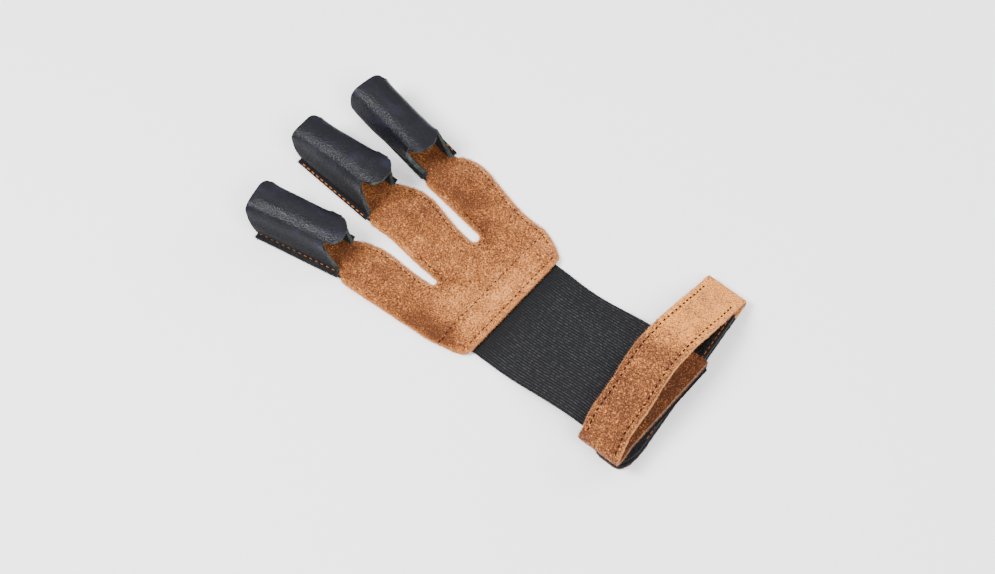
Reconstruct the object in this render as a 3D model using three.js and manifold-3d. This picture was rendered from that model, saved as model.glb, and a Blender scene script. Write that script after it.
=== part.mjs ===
// Three-finger archery glove for the right hand, lying palm side up on a flat surface. A suede palm runs out
// into three finger strips, each with a leather pad arched over its end. A wide elastic joins the palm to a
// suede wrist strap, which is folded into a loop and closed by hook and loop tape.
// Millimetres. The origin is the middle of the palm hem on the surface, +Y points to the fingertips, +X to
// the index finger's side and +Z up.
import * as THREE from 'three';
import { mergeVertices } from 'three/addons/utils/BufferGeometryUtils.js';
import Module from 'manifold-3d';

const wasm = await Module();
wasm.setup();

// Sheet thicknesses, and the gap that pieces sewn together keep
const CLEARANCE = 0.3;
const SUEDE_WALL = 1.6;
const PAD_WALL = 1.8;
const ELASTIC_WALL = 1.4;
const STRAP_WALL = 2.2;
const HOOK_WALL = 1.6;
const LOOP_WALL = 1.4;

// Palm and finger strips
const PALM_LENGTH = 31; // from the hem to the bottom of the slits between the fingers
const PALM_FLARE = 10; // how far each side of the palm stands out beyond the elastic
const SLIT_WIDTH = 4;
const FINGER_WIDTH = 19;
const FINGER_SPACE = 9.6; // between two finger pads at their backs
const FINGER_REACH = 70; // from the hem to the backs of the finger pads
const WAVE_HEIGHT = 1.8;
const SHEET_STEP = 4; // size of the facets of the palm sheet
const FLOOR_MARGIN = 0.6; // how far a strip shows past the front of its pad

// Finger pads
const STALL_LENGTH = 40;
const STALL_HEIGHT = 18; // from the surface to the middle of the roof's leather
const FLANGE_WIDTH = 2.1; // the sewn edge on each side of a pad
const SHOULDER_RADIUS = 4.5;
const FOOT_RADIUS = 1.2;

// Elastic
const ELASTIC_WIDTH = 52;
const ELASTIC_LENGTH = 58.4; // from the hem to the strap
const TUCK_LENGTH = 12.5; // hidden under the palm
const STRAP_EDGE_SHOWN = 1; // how far the strap stands out beyond the elastic's end
const CLIMB_START = 0.2; // share of ELASTIC_LENGTH from the hem where the elastic leaves the surface
const CLIMB_END = 0.88; // and where it has reached the top of the closure

// Wrist strap
const STRAP_WIDTH = 19.1;
const WRIST_SPAN = 93.2; // between the two folds of the loop
const FOLD_OFFSET = 32.5; // from the middle of the elastic to the fold on the little finger's side
const LOOP_RISE = 22; // from the surface to the middle of the strap where it stands highest
const SEAT_FOLD_RADIUS = 2;
const TAB_FOLD_RADIUS = 1.7;
const SEAT_LENGTH = 58.5; // from the fold to the cut end that is sewn on the elastic
const TAB_LENGTH = 90.2; // from the other fold to the rounded end of the tab
const TAB_ROUNDING = 5.4; // how far the tab's end corners come in from its edges
const TAB_TAPER = 13; // how far back along the tab the corners start
const BAND_SKEW = 7.6; // how far the loop's band drifts towards the fingers on its way to the tab fold
const TAB_SKEW = 10.4; // how far the tab drifts back
const TAPE_MARGIN = 0.5; // strap that shows beside a tape
const HOOK_START = 8.5; // from the tab fold to the hook tape
const STRAIGHT_STEP = 12; // size of the facets of the straight parts

const SUEDE = new THREE.MeshStandardMaterial({ color: 0xbd8560, roughness: 0.95, metalness: 0 });
const STRAP_SUEDE = new THREE.MeshStandardMaterial({ color: 0xb98058, roughness: 0.95, metalness: 0 });
const PAD_LEATHER = new THREE.MeshStandardMaterial({ color: 0x2b2b30, roughness: 0.4, metalness: 0 });
const ELASTIC = new THREE.MeshStandardMaterial({ color: 0x28282a, roughness: 0.85, metalness: 0 });
const HOOK_TAPE = new THREE.MeshStandardMaterial({ color: 0x111114, roughness: 0.9, metalness: 0 });
const LOOP_TAPE = new THREE.MeshStandardMaterial({ color: 0x16161a, roughness: 0.95, metalness: 0 });

// One row for each finger, from the little finger's side. across and along place the middle of the pad's
// back, in finger pitches and in FINGER_REACH. turn is in degrees towards the little finger. length, notch,
// tongue, slant and overhang are shares of STALL_LENGTH: the notches and the tongue lie that far ahead of
// the back of the sewn edge, slant is how much further ahead the back is on the far side, and overhang how
// far the roof leans out over the front. Widths are shares of FINGER_WIDTH and heights of STALL_HEIGHT. near
// and far are the roof's two edges as shares of the width there, and the rounds shares of SHOULDER_RADIUS.
// The bulges are shares of FINGER_WIDTH, towards the index finger's side.
const FINGERS = [
  {
    name: 'ring', across: -0.895, along: 0.929, turn: 10.7, length: 0.958,
    notch: 0.19, tongue: 0.02, slant: 0.08, overhang: 0.128,
    backWidth: 1.05, backHeight: 0.97, backNear: 0.15, backFar: 0.917,
    tipWidth: 1.05, tipHeight: 0.97, tipNear: 0.15, tipFar: 0.917,
    nearRound: 0.55, farRound: 1, nearBulge: -0.02, farBulge: 0.1,
  },
  {
    name: 'middle', across: 0.129, along: 1.026, turn: -1.5, length: 0.993,
    notch: 0.14, tongue: -0.045, slant: 0.08, overhang: 0.105,
    backWidth: 1.2, backHeight: 1.13, backNear: 0.158, backFar: 0.917,
    tipWidth: 0.99, tipHeight: 0.92, tipNear: 0.128, tipFar: 0.83,
    nearRound: 0.55, farRound: 1, nearBulge: 0.06, farBulge: 0.19,
  },
  {
    name: 'index', across: 1.087, along: 0.94, turn: -9.7, length: 1.005,
    notch: 0.18, tongue: 0.035, slant: 0.01, overhang: 0.075,
    backWidth: 1, backHeight: 0.97, backNear: -0.13, backFar: 0.716,
    tipWidth: 1, tipHeight: 0.97, tipNear: -0.063, tipFar: 0.716,
    nearRound: 1.1, farRound: 1.1, nearBulge: 0, farBulge: 0.18,
  },
];
const TIP_ROUNDING = 3.5; // of the roof's front corner on the index finger's side
const NOTCH_DROP = 0.25; // share of SHOULDER_RADIUS that the notches lie below the top of the roof
const SLANT_LOSS = 0.7; // share of the slant that is gone at the top of the wall

// Sides of the palm from the hem up. out is a share of PALM_FLARE beyond the elastic, along of PALM_LENGTH.
const INDEX_SIDE = [
  { out: 0.29, along: 0.023 },
  { out: 0.53, along: 0.116 },
  { out: 0.79, along: 0.277 },
  { out: 0.98, along: 0.468 },
  { out: 0.97, along: 0.703 },
];
const RING_SIDE = [
  { out: 0.34, along: 0.068 },
  { out: 0.55, along: 0.33 },
  { out: 0.69, along: 0.53 },
];

// Slits between the fingers. across is a share of the palm's width, width of SLIT_WIDTH.
const SLITS = [
  { across: -0.164, width: 0.7 },
  { across: 0.203, width: 1.08 },
];

// Soft rises in the suede. across is a share of the palm's width, along and length of FINGER_REACH, width
// of FINGER_WIDTH and height of WAVE_HEIGHT.
const WAVES = [
  { across: -0.36, along: 0.72, width: 0.42, length: 0.16, height: 1 },
  { across: 0.06, along: 0.78, width: 0.46, length: 0.16, height: 1 },
  { across: 0.47, along: 0.76, width: 0.46, length: 0.18, height: 0.9 },
  { across: -0.02, along: 0.44, width: 0.5, length: 0.11, height: 0.55 },
  { across: 0.36, along: 0.38, width: 0.5, length: 0.12, height: 0.5 },
];

// The loop's band between its folds. across is a share of WRIST_SPAN from the fold on the little finger's
// side, rise a share of LOOP_RISE from the surface and drift one of BAND_SKEW.
const BAND = [
  { across: 0.113, rise: 0.696, drift: 0.28 },
  { across: 0.188, rise: 0.769, drift: 0.35 },
  { across: 0.274, rise: 0.846, drift: 0.43 },
  { across: 0.36, rise: 0.946, drift: 0.57 },
  { across: 0.445, rise: 1, drift: 0.67 },
  { across: 0.52, rise: 0.973, drift: 0.71 },
  { across: 0.606, rise: 0.905, drift: 0.75 },
  { across: 0.692, rise: 0.782, drift: 0.77 },
  { across: 0.778, rise: 0.637, drift: 0.8 },
  { across: 0.853, rise: 0.474, drift: 0.86 },
  { across: 0.928, rise: 0.3, drift: 0.94 },
];
const SEAT_FOLD_EXIT = 20; // degrees that the band climbs at as it leaves the fold
const TAB_FOLD_ENTRY = 28; // degrees that it falls at as it reaches the other one

const PALM_WIDTH = ELASTIC_WIDTH + 2 * PALM_FLARE;
const PITCH = FINGER_WIDTH + FINGER_SPACE;
const FLANGE_Z = SUEDE_WALL + CLEARANCE;

// Heights in the closure, from the tab on the surface up
const HOOK_Z = STRAP_WALL + CLEARANCE;
const LOOP_Z = HOOK_Z + HOOK_WALL + CLEARANCE;
const STACK_Z = LOOP_Z + LOOP_WALL + CLEARANCE;
const SEAT_Z = STACK_Z + ELASTIC_WALL + CLEARANCE;

function mix(from, to, share) {
  return from + (to - from) * share;
}

// A closed wall between two sheets of points that have the same rows and columns
function wallBetween(front, back) {
  const rows = front.length;
  const columns = front[0].length;
  const position = [...front.flat(), ...back.flat()].flatMap((point) => point.toArray());
  const index = [];
  const at = (sheet, row, column) => (sheet * rows + row) * columns + column;
  const quad = (a, b, c, d) => index.push(a, b, c, a, c, d);
  for (let row = 0; row < rows - 1; row += 1) {
    for (let column = 0; column < columns - 1; column += 1) {
      quad(at(0, row, column), at(0, row, column + 1), at(0, row + 1, column + 1), at(0, row + 1, column));
      quad(at(1, row, column), at(1, row + 1, column), at(1, row + 1, column + 1), at(1, row, column + 1));
    }
    quad(at(0, row, 0), at(0, row + 1, 0), at(1, row + 1, 0), at(1, row, 0));
    const last = columns - 1;
    quad(at(0, row, last), at(1, row, last), at(1, row + 1, last), at(0, row + 1, last));
  }
  for (let column = 0; column < columns - 1; column += 1) {
    quad(at(0, 0, column), at(1, 0, column), at(1, 0, column + 1), at(0, 0, column + 1));
    const last = rows - 1;
    quad(at(0, last, column), at(0, last, column + 1), at(1, last, column + 1), at(1, last, column));
  }
  const geometry = new THREE.BufferGeometry();
  geometry.setAttribute('position', new THREE.Float32BufferAttribute(position, 3));
  geometry.setIndex(index);
  geometry.computeVertexNormals();
  return geometry;
}

function solidOf(geometry) {
  const bare = geometry.clone();
  bare.deleteAttribute('normal');
  bare.deleteAttribute('uv');
  const merged = mergeVertices(bare, 1e-4);
  const vertProperties = new Float32Array(merged.attributes.position.array);
  const triVerts = new Uint32Array(merged.index.array);
  return new wasm.Manifold(new wasm.Mesh({ numProp: 3, vertProperties, triVerts }));
}

function geometryOf(solid) {
  const mesh = solid.getMesh();
  const geometry = new THREE.BufferGeometry();
  geometry.setAttribute('position', new THREE.Float32BufferAttribute(mesh.vertProperties, 3));
  geometry.setIndex([...mesh.triVerts]);
  geometry.computeVertexNormals();
  return geometry;
}

// Frame of a finger's pad: forward runs along the finger, aside across it towards the index finger's side,
// and corner is the back corner of the sewn edge on the little finger's side.
function fingerFrame(finger) {
  const turn = THREE.MathUtils.degToRad(finger.turn);
  const forward = new THREE.Vector2(-Math.sin(turn), Math.cos(turn));
  const aside = new THREE.Vector2(forward.y, -forward.x);
  const back = new THREE.Vector2(finger.across * PITCH, finger.along * FINGER_REACH);
  const corner = back.clone().addScaledVector(aside, (-finger.backWidth * FINGER_WIDTH) / 2);
  return { forward, aside, corner, length: finger.length * STALL_LENGTH };
}

function onFinger(frame, ahead, side) {
  return frame.corner.clone().addScaledVector(frame.forward, ahead).addScaledVector(frame.aside, side);
}

// The edge of a strip from the palm to a corner of its pad, swelling sideways before it gets there
function stripEdge(root, corner, bulge) {
  const steps = 9;
  return Array.from({ length: steps }, (_, step) => {
    const share = step / steps;
    const swell = bulge * FINGER_WIDTH * Math.sin(Math.PI * share * share);
    return new THREE.Vector2(mix(root.x, corner.x, share) + swell, mix(root.y, corner.y, share));
  });
}

// The sides widen or narrow in a straight line from the back of the pad to its front, so the strip's floor
// meets the pad's front corners exactly where the pad has them.
function floorCorners(finger) {
  const frame = fingerFrame(finger);
  const backWidth = finger.backWidth * FINGER_WIDTH;
  const inset = ((finger.backWidth - finger.tipWidth) * FINGER_WIDTH) / 2;
  const front = frame.length + FLOOR_MARGIN;
  return {
    nearBack: frame.corner,
    nearFront: onFinger(frame, front, inset),
    farFront: onFinger(frame, front, backWidth - inset),
    farBack: onFinger(frame, 0, backWidth),
  };
}

function palmSide(rows, direction) {
  return rows.map((row) => new THREE.Vector2(
    direction * (ELASTIC_WIDTH / 2 + row.out * PALM_FLARE),
    row.along * PALM_LENGTH,
  ));
}

function slitEdge(slit, direction) {
  const radius = (slit.width * SLIT_WIDTH) / 2;
  return new THREE.Vector2(slit.across * PALM_WIDTH + direction * radius, PALM_LENGTH + radius);
}

// The round bottom of a slit, from its side next to the index finger to the other one
function slitBottom(slit) {
  const radius = (slit.width * SLIT_WIDTH) / 2;
  const arc = new THREE.EllipseCurve(
    slit.across * PALM_WIDTH, PALM_LENGTH + radius, radius, radius, 0, -Math.PI, true,
  );
  return arc.getPoints(8).slice(1);
}

function palmOutline() {
  const [ring, middle, index] = FINGERS.map(floorCorners);
  const [ringRow, middleRow, indexRow] = FINGERS;
  const [ringSlit, indexSlit] = SLITS;
  const indexSide = palmSide(INDEX_SIDE, 1);
  const ringSide = palmSide(RING_SIDE, -1);
  const hemEnd = new THREE.Vector2(ELASTIC_WIDTH / 2, 0);
  const hemStart = new THREE.Vector2(-ELASTIC_WIDTH / 2, 0);
  const cornerPoints = (points) => new THREE.SplineCurve(points).getPoints(3 * (points.length - 1));
  return [
    ...cornerPoints([hemEnd, ...indexSide]).slice(0, -1),
    ...stripEdge(indexSide.at(-1), index.farBack, indexRow.farBulge),
    index.farBack, index.farFront, index.nearFront, index.nearBack,
    ...stripEdge(slitEdge(indexSlit, 1), index.nearBack, indexRow.nearBulge).slice(1).reverse(),
    slitEdge(indexSlit, 1),
    ...slitBottom(indexSlit),
    ...stripEdge(slitEdge(indexSlit, -1), middle.farBack, middleRow.farBulge).slice(1),
    middle.farBack, middle.farFront, middle.nearFront, middle.nearBack,
    ...stripEdge(slitEdge(ringSlit, 1), middle.nearBack, middleRow.nearBulge).slice(1).reverse(),
    slitEdge(ringSlit, 1),
    ...slitBottom(ringSlit),
    ...stripEdge(slitEdge(ringSlit, -1), ring.farBack, ringRow.farBulge).slice(1),
    ring.farBack, ring.farFront, ring.nearFront, ring.nearBack,
    ...stripEdge(ringSide.at(-1), ring.nearBack, ringRow.nearBulge).reverse(),
    ...cornerPoints([hemStart, ...ringSide]).slice(0, -1).reverse(),
  ];
}

// How high the underside of the palm sheet lies: over the tucked end of the elastic, in soft rises behind
// the pads, and flat on the surface elsewhere
function palmLift(x, y) {
  const beside = Math.max(0, Math.abs(x) - ELASTIC_WIDTH / 2);
  const ahead = Math.max(0, y - TUCK_LENGTH);
  const ramp = SHEET_STEP;
  const nearTuck = 1 - THREE.MathUtils.smoothstep(Math.hypot(beside, ahead), 0, ramp);
  const overElastic = (ELASTIC_WALL + CLEARANCE) * nearTuck;
  const behindPads = Math.min(...FINGERS.map((finger) => {
    const frame = fingerFrame(finger);
    const offset = new THREE.Vector2(x, y).sub(frame.corner);
    const side = offset.dot(frame.aside);
    const inLane = side > -FINGER_SPACE / 2 && side < finger.backWidth * FINGER_WIDTH + FINGER_SPACE / 2;
    const nearPad = THREE.MathUtils.smoothstep(offset.dot(frame.forward), -3 * SHEET_STEP, -SHEET_STEP);
    return inLane ? 1 - nearPad : 1;
  }));
  const rise = WAVES.reduce((sum, wave) => {
    const across = (x - wave.across * PALM_WIDTH) / (wave.width * FINGER_WIDTH);
    const along = (y - wave.along * FINGER_REACH) / (wave.length * FINGER_REACH);
    return sum + wave.height * WAVE_HEIGHT * Math.exp(-across * across - along * along);
  }, 0);
  const clearOfTuck = THREE.MathUtils.smoothstep(y, TUCK_LENGTH, TUCK_LENGTH + 2 * SHEET_STEP);
  return overElastic + rise * behindPads * clearOfTuck;
}

// Values from the first break to the last in even steps that hit every break
function ticks(breaks, step) {
  const values = [breaks[0]];
  for (let i = 1; i < breaks.length; i += 1) {
    const count = Math.max(1, Math.round((breaks[i] - breaks[i - 1]) / step));
    for (let k = 1; k <= count; k += 1) values.push(mix(breaks[i - 1], breaks[i], k / count));
  }
  return values;
}

function gloveBody() {
  const outline = palmOutline();
  const box = new THREE.Box2().setFromPoints(outline).expandByScalar(1);
  const halfElastic = ELASTIC_WIDTH / 2;
  const xs = ticks([box.min.x, -halfElastic, halfElastic, box.max.x], SHEET_STEP);
  const ys = ticks([box.min.y, 0, TUCK_LENGTH, box.max.y], SHEET_STEP);
  const point = (x, y, thickness) => new THREE.Vector3(x, y, palmLift(x, y) + thickness);
  const sheet = (thickness) => ys.map((y) => xs.map((x) => point(x, y, thickness)));
  const waves = solidOf(wallBetween(sheet(SUEDE_WALL), sheet(0)));
  const depth = 2 * (SUEDE_WALL + ELASTIC_WALL + WAVE_HEIGHT * WAVES.length);
  const prism = new THREE.ExtrudeGeometry(new THREE.Shape(outline), { depth, bevelEnabled: false });
  prism.translate(0, 0, -depth / 2);
  return geometryOf(waves.intersect(solidOf(prism)));
}

// A polyline in a finger's cross section with its corners rounded, always with the same number of points
function roundedSection(corners, radii, steps) {
  const points = [corners[0]];
  for (let i = 1; i < corners.length - 1; i += 1) {
    const toLast = corners[i - 1].clone().sub(corners[i]);
    const toNext = corners[i + 1].clone().sub(corners[i]);
    const reach = Math.min(radii[i - 1], 0.48 * toLast.length(), 0.48 * toNext.length());
    const start = corners[i].clone().addScaledVector(toLast.normalize(), reach);
    const end = corners[i].clone().addScaledVector(toNext.normalize(), reach);
    points.push(...new THREE.QuadraticBezierCurve(start, corners[i], end).getPoints(steps));
  }
  points.push(corners.at(-1));
  return points;
}

// The middle line of a pad's leather across the finger: sewn edge, wall, roof, wall, sewn edge
function padSection(finger, ahead) {
  const share = ahead / (finger.length * STALL_LENGTH);
  const width = mix(finger.backWidth, finger.tipWidth, share) * FINGER_WIDTH;
  const inset = ((finger.backWidth * FINGER_WIDTH) - width) / 2;
  const height = mix(finger.backHeight, finger.tipHeight, share) * STALL_HEIGHT;
  const near = mix(finger.backNear, finger.tipNear, share) * width;
  const far = mix(finger.backFar, finger.tipFar, share) * width;
  const low = FLANGE_Z + PAD_WALL / 2;
  const foot = FLANGE_WIDTH + PAD_WALL / 2;
  const corners = [
    [0, low], [foot, low], [near, height], [mix(near, far, 1 / 3), height],
    [mix(near, far, 2 / 3), height], [far, height], [width - foot, low], [width, low],
  ].map(([side, z]) => new THREE.Vector2(inset + side, z));
  const [nearRound, farRound] = [finger.nearRound, finger.farRound].map((share) => share * SHOULDER_RADIUS);
  const radii = [FOOT_RADIUS, nearRound, 1, 1, farRound, FOOT_RADIUS];
  return roundedSection(corners, radii, 4);
}

// Where along the finger the leather starts and ends at each point of its section. The walls' back edges
// slant forward from the sewn edge to a notch at each shoulder, and the roof between the notches runs back
// in a round tongue. The walls' front edges lean out to the front of the roof, which is straight up to its
// round corner on the index finger's side.
function padEnds(finger, section) {
  const length = finger.length * STALL_LENGTH;
  const low = section[0].y;
  const top = Math.max(...section.map((point) => point.y));
  const notchZ = top - NOTCH_DROP * SHOULDER_RADIUS;
  const roof = section.filter((point) => point.y >= notchZ);
  const middle = (roof[0].x + roof.at(-1).x) / 2;
  const half = (roof.at(-1).x - roof[0].x) / 2;
  const width = section.at(-1).x;
  return section.map((point) => {
    const climb = THREE.MathUtils.clamp((point.y - low) / (notchZ - low), 0, 1);
    const aside = THREE.MathUtils.clamp((point.x - middle) / half, -1, 1);
    const round = point.y >= notchZ ? Math.sqrt(1 - aside * aside) : 0;
    const slant = finger.slant * (point.x / width) * (1 - SLANT_LOSS * climb);
    const back = (slant + mix(finger.notch * climb, finger.tongue, round)) * STALL_LENGTH;
    const corner = THREE.MathUtils.clamp(1 + (point.x - roof.at(-1).x) / TIP_ROUNDING, 0, 1);
    const rounding = TIP_ROUNDING * (1 - Math.sqrt(1 - corner * corner));
    const front = length + climb * (finger.overhang * STALL_LENGTH - rounding);
    return { back, front };
  });
}

function stallPad(finger) {
  const frame = fingerFrame(finger);
  const ends = padEnds(finger, padSection(finger, 0));
  const stations = 8;
  const leatherPoint = (i, ahead, offset) => {
    const section = padSection(finger, ahead);
    const before = section[Math.max(0, i - 1)];
    const after = section[Math.min(section.length - 1, i + 1)];
    const normal = new THREE.Vector2(before.y - after.y, after.x - before.x).normalize();
    const point = section[i].clone().addScaledVector(normal, offset);
    const place = onFinger(frame, ahead, point.x);
    return new THREE.Vector3(place.x, place.y, point.y);
  };
  const sheet = (offset) => ends.map(({ back, front }, i) => Array.from(
    { length: stations + 1 },
    (_, station) => leatherPoint(i, mix(back, front, station / stations), offset),
  ));
  return wallBetween(sheet(-PAD_WALL / 2), sheet(PAD_WALL / 2));
}

// The elastic lies on the surface from its tucked end and then climbs on top of the closure
function elasticBand() {
  const end = -(ELASTIC_LENGTH + STRAP_WIDTH - STRAP_EDGE_SHOWN);
  const climbStart = -CLIMB_START * ELASTIC_LENGTH;
  const climbEnd = -CLIMB_END * ELASTIC_LENGTH;
  const ys = ticks([end, climbEnd, climbStart, TUCK_LENGTH], SHEET_STEP);
  const xs = [-ELASTIC_WIDTH / 2, ELASTIC_WIDTH / 2];
  const lift = (y) => STACK_Z * THREE.MathUtils.smoothstep(-y, -climbStart, -climbEnd);
  const sheet = (thickness) => ys.map((y) => xs.map((x) => new THREE.Vector3(x, y, lift(y) + thickness)));
  return wallBetween(sheet(ELASTIC_WALL), sheet(0));
}

const SEAT_FOLD_X = -FOLD_OFFSET;
const TAB_FOLD_X = SEAT_FOLD_X + WRIST_SPAN;
const SEAT_Y = -(ELASTIC_LENGTH + STRAP_WIDTH / 2);
const TAB_FOLD_Y = SEAT_Y + BAND_SKEW;
const TAB_END_X = TAB_FOLD_X - TAB_LENGTH;

// Half a turn of the strap's middle line, seen from the side, with y on the strap's middle
function foldArc({ x, y, z }, radius, fromDegrees, toDegrees) {
  const from = THREE.MathUtils.degToRad(fromDegrees);
  const to = THREE.MathUtils.degToRad(toDegrees);
  const arc = new THREE.EllipseCurve(x, z, radius, radius, from, to, true).getPoints(6);
  return arc.map((point) => new THREE.Vector3(point.x, y, point.y));
}

function seatFold() {
  const centre = {
    x: SEAT_FOLD_X + STRAP_WALL / 2 + SEAT_FOLD_RADIUS,
    y: SEAT_Y,
    z: SEAT_Z + STRAP_WALL / 2 + SEAT_FOLD_RADIUS,
  };
  return foldArc(centre, SEAT_FOLD_RADIUS, -90, -270 + SEAT_FOLD_EXIT);
}

function tabFold() {
  const centre = {
    x: TAB_FOLD_X - STRAP_WALL / 2 - TAB_FOLD_RADIUS,
    y: TAB_FOLD_Y,
    z: STRAP_WALL / 2 + TAB_FOLD_RADIUS,
  };
  return foldArc(centre, TAB_FOLD_RADIUS, 90 - TAB_FOLD_ENTRY, -90);
}

// The middle line of the band over the wrist, from one fold to the other
function bandPoints(start, end) {
  const rows = BAND.map((row) => new THREE.Vector3(
    SEAT_FOLD_X + row.across * WRIST_SPAN,
    SEAT_Y + row.drift * BAND_SKEW,
    row.rise * LOOP_RISE,
  ));
  return new THREE.CatmullRomCurve3([start, ...rows, end]).getPoints(36).slice(1, -1);
}

function tabMiddle(x) {
  return TAB_FOLD_Y - TAB_SKEW * ((TAB_FOLD_X - x) / TAB_LENGTH);
}

// Stations over the rounded corners at the end of the tab, or of the tape on it
function tabCorners(endX, z, halfWidth) {
  const steps = 6;
  return Array.from({ length: steps + 1 }, (_, step) => {
    const angle = (Math.PI / 2) * (step / steps);
    const x = endX + TAB_TAPER * (1 - Math.sin(angle));
    return { x, z, middle: tabMiddle(x), half: halfWidth - TAB_ROUNDING * (1 - Math.cos(angle)) };
  });
}

function stripWall(stations, thickness) {
  const sheet = (offset) => stations.map(({ x, z, middle, half }, i) => {
    const before = stations[Math.max(0, i - 1)];
    const after = stations[Math.min(stations.length - 1, i + 1)];
    const normal = new THREE.Vector2(before.z - after.z, after.x - before.x).normalize();
    const [outX, outZ] = [x + offset * normal.x, z + offset * normal.y];
    return [middle - half, middle + half].map((y) => new THREE.Vector3(outX, y, outZ));
  });
  return wallBetween(sheet(-thickness / 2), sheet(thickness / 2));
}

// The end sewn on the elastic, the seat fold, the band over the wrist, the tab fold and the tab
function wristStrap() {
  const half = STRAP_WIDTH / 2;
  const turns = [seatFold(), tabFold()];
  const band = bandPoints(turns[0].at(-1), turns[1][0]);
  const seatZ = turns[0][0].z;
  const tabZ = turns[1].at(-1).z;
  const tabXs = ticks([turns[1].at(-1).x, TAB_END_X + TAB_TAPER], STRAIGHT_STEP).slice(1, -1);
  return stripWall([
    ...[SEAT_FOLD_X + SEAT_LENGTH, 0].map((x) => ({ x, z: seatZ, middle: SEAT_Y, half })),
    ...[...turns[0], ...band, ...turns[1]].map(({ x, y, z }) => ({ x, z, middle: y, half })),
    ...tabXs.map((x) => ({ x, z: tabZ, middle: tabMiddle(x), half })),
    ...tabCorners(TAB_END_X, tabZ, half),
  ], STRAP_WALL);
}

function hookTape() {
  const z = HOOK_Z + HOOK_WALL / 2;
  const half = STRAP_WIDTH / 2 - TAPE_MARGIN;
  const start = TAB_FOLD_X - HOOK_START;
  const end = TAB_END_X + 2 * TAPE_MARGIN;
  const run = ticks([start, end + TAB_TAPER], STRAIGHT_STEP).slice(0, -1);
  return stripWall([
    ...run.map((x) => ({ x, z, middle: tabMiddle(x), half })),
    ...tabCorners(end, z, half),
  ], HOOK_WALL);
}

function loopTape() {
  const z = LOOP_Z + LOOP_WALL / 2;
  const half = STRAP_WIDTH / 2 - TAPE_MARGIN;
  const start = SEAT_FOLD_X + SEAT_LENGTH - TAPE_MARGIN;
  const end = SEAT_FOLD_X + SEAT_FOLD_RADIUS + STRAP_WALL;
  return stripWall([start, end].map((x) => ({ x, z, middle: SEAT_Y, half })), LOOP_WALL);
}

function piece(name, geometry, material) {
  const mesh = new THREE.Mesh(geometry, material);
  mesh.name = name;
  return mesh;
}

const glove = new THREE.Group();
glove.add(piece('glove_body', gloveBody(), SUEDE));
FINGERS.forEach((finger) => glove.add(piece(`stall_${finger.name}`, stallPad(finger), PAD_LEATHER)));
glove.add(piece('elastic_band', elasticBand(), ELASTIC));
glove.add(piece('wrist_strap', wristStrap(), STRAP_SUEDE));
glove.add(piece('hook_tape', hookTape(), HOOK_TAPE));
glove.add(piece('loop_tape', loopTape(), LOOP_TAPE));

export default glove;
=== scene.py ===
"""Looks of a three-finger archery glove that lies palm side up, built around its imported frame.

Each sub-assembly is a class that copies or rebuilds the solids it stands for, adds what they leave out
(stitches, nap, ribs, hooks and ragged edges) and dresses the result. Lengths are metres in the frame of
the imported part: +Y runs to the fingertips, +X to the index finger's side and +Z up, towards the palm side.
A pair of numbers that is named for a change holds where the change starts and where it ends.
"""

from __future__ import annotations

import logging
import math
import random
from collections.abc import Callable, Iterable
from dataclasses import dataclass, field
from enum import Enum

import bmesh
import bpy
from mathutils import Matrix, Vector, kdtree, noise
from mathutils.bvhtree import BVHTree


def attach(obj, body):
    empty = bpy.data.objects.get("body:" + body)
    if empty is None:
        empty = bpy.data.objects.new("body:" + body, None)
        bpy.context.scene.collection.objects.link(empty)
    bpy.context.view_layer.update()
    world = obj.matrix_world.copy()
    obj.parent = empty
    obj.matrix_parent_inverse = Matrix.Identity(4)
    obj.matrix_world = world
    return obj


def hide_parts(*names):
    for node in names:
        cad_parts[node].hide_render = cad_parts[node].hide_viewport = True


LOG = logging.getLogger("archery_glove")
MM = 0.001
UP = Vector((0.0, 0.0, 1.0))
BODY = "root"
SHADE = "shade"
EDGE = "edge"
MERGE_DISTANCE = 1e-6
SHARP_ANGLE = math.radians(50)
LOWEST = 0.02 * MM

Colour = tuple[float, float, float]


def linear(red: int, green: int, blue: int) -> Colour:
    """Turns a screen colour of 0 to 255 a channel into a linear one.

    Args:
        red: its red.
        green: its green.
        blue: its blue.

    Returns:
        The linear colour.
    """

    def channel(value: int) -> float:
        """One channel of the colour."""
        share = value / 255
        return share / 12.92 if share <= 0.04045 else ((share + 0.055) / 1.055) ** 2.4

    return channel(red), channel(green), channel(blue)


def smooth_step(value: float, low: float, high: float) -> float:
    """Rises smoothly from 0 at low to 1 at high."""
    share = min(1.0, max(0.0, (value - low) / (high - low)))
    return share * share * (3 - 2 * share)


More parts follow.
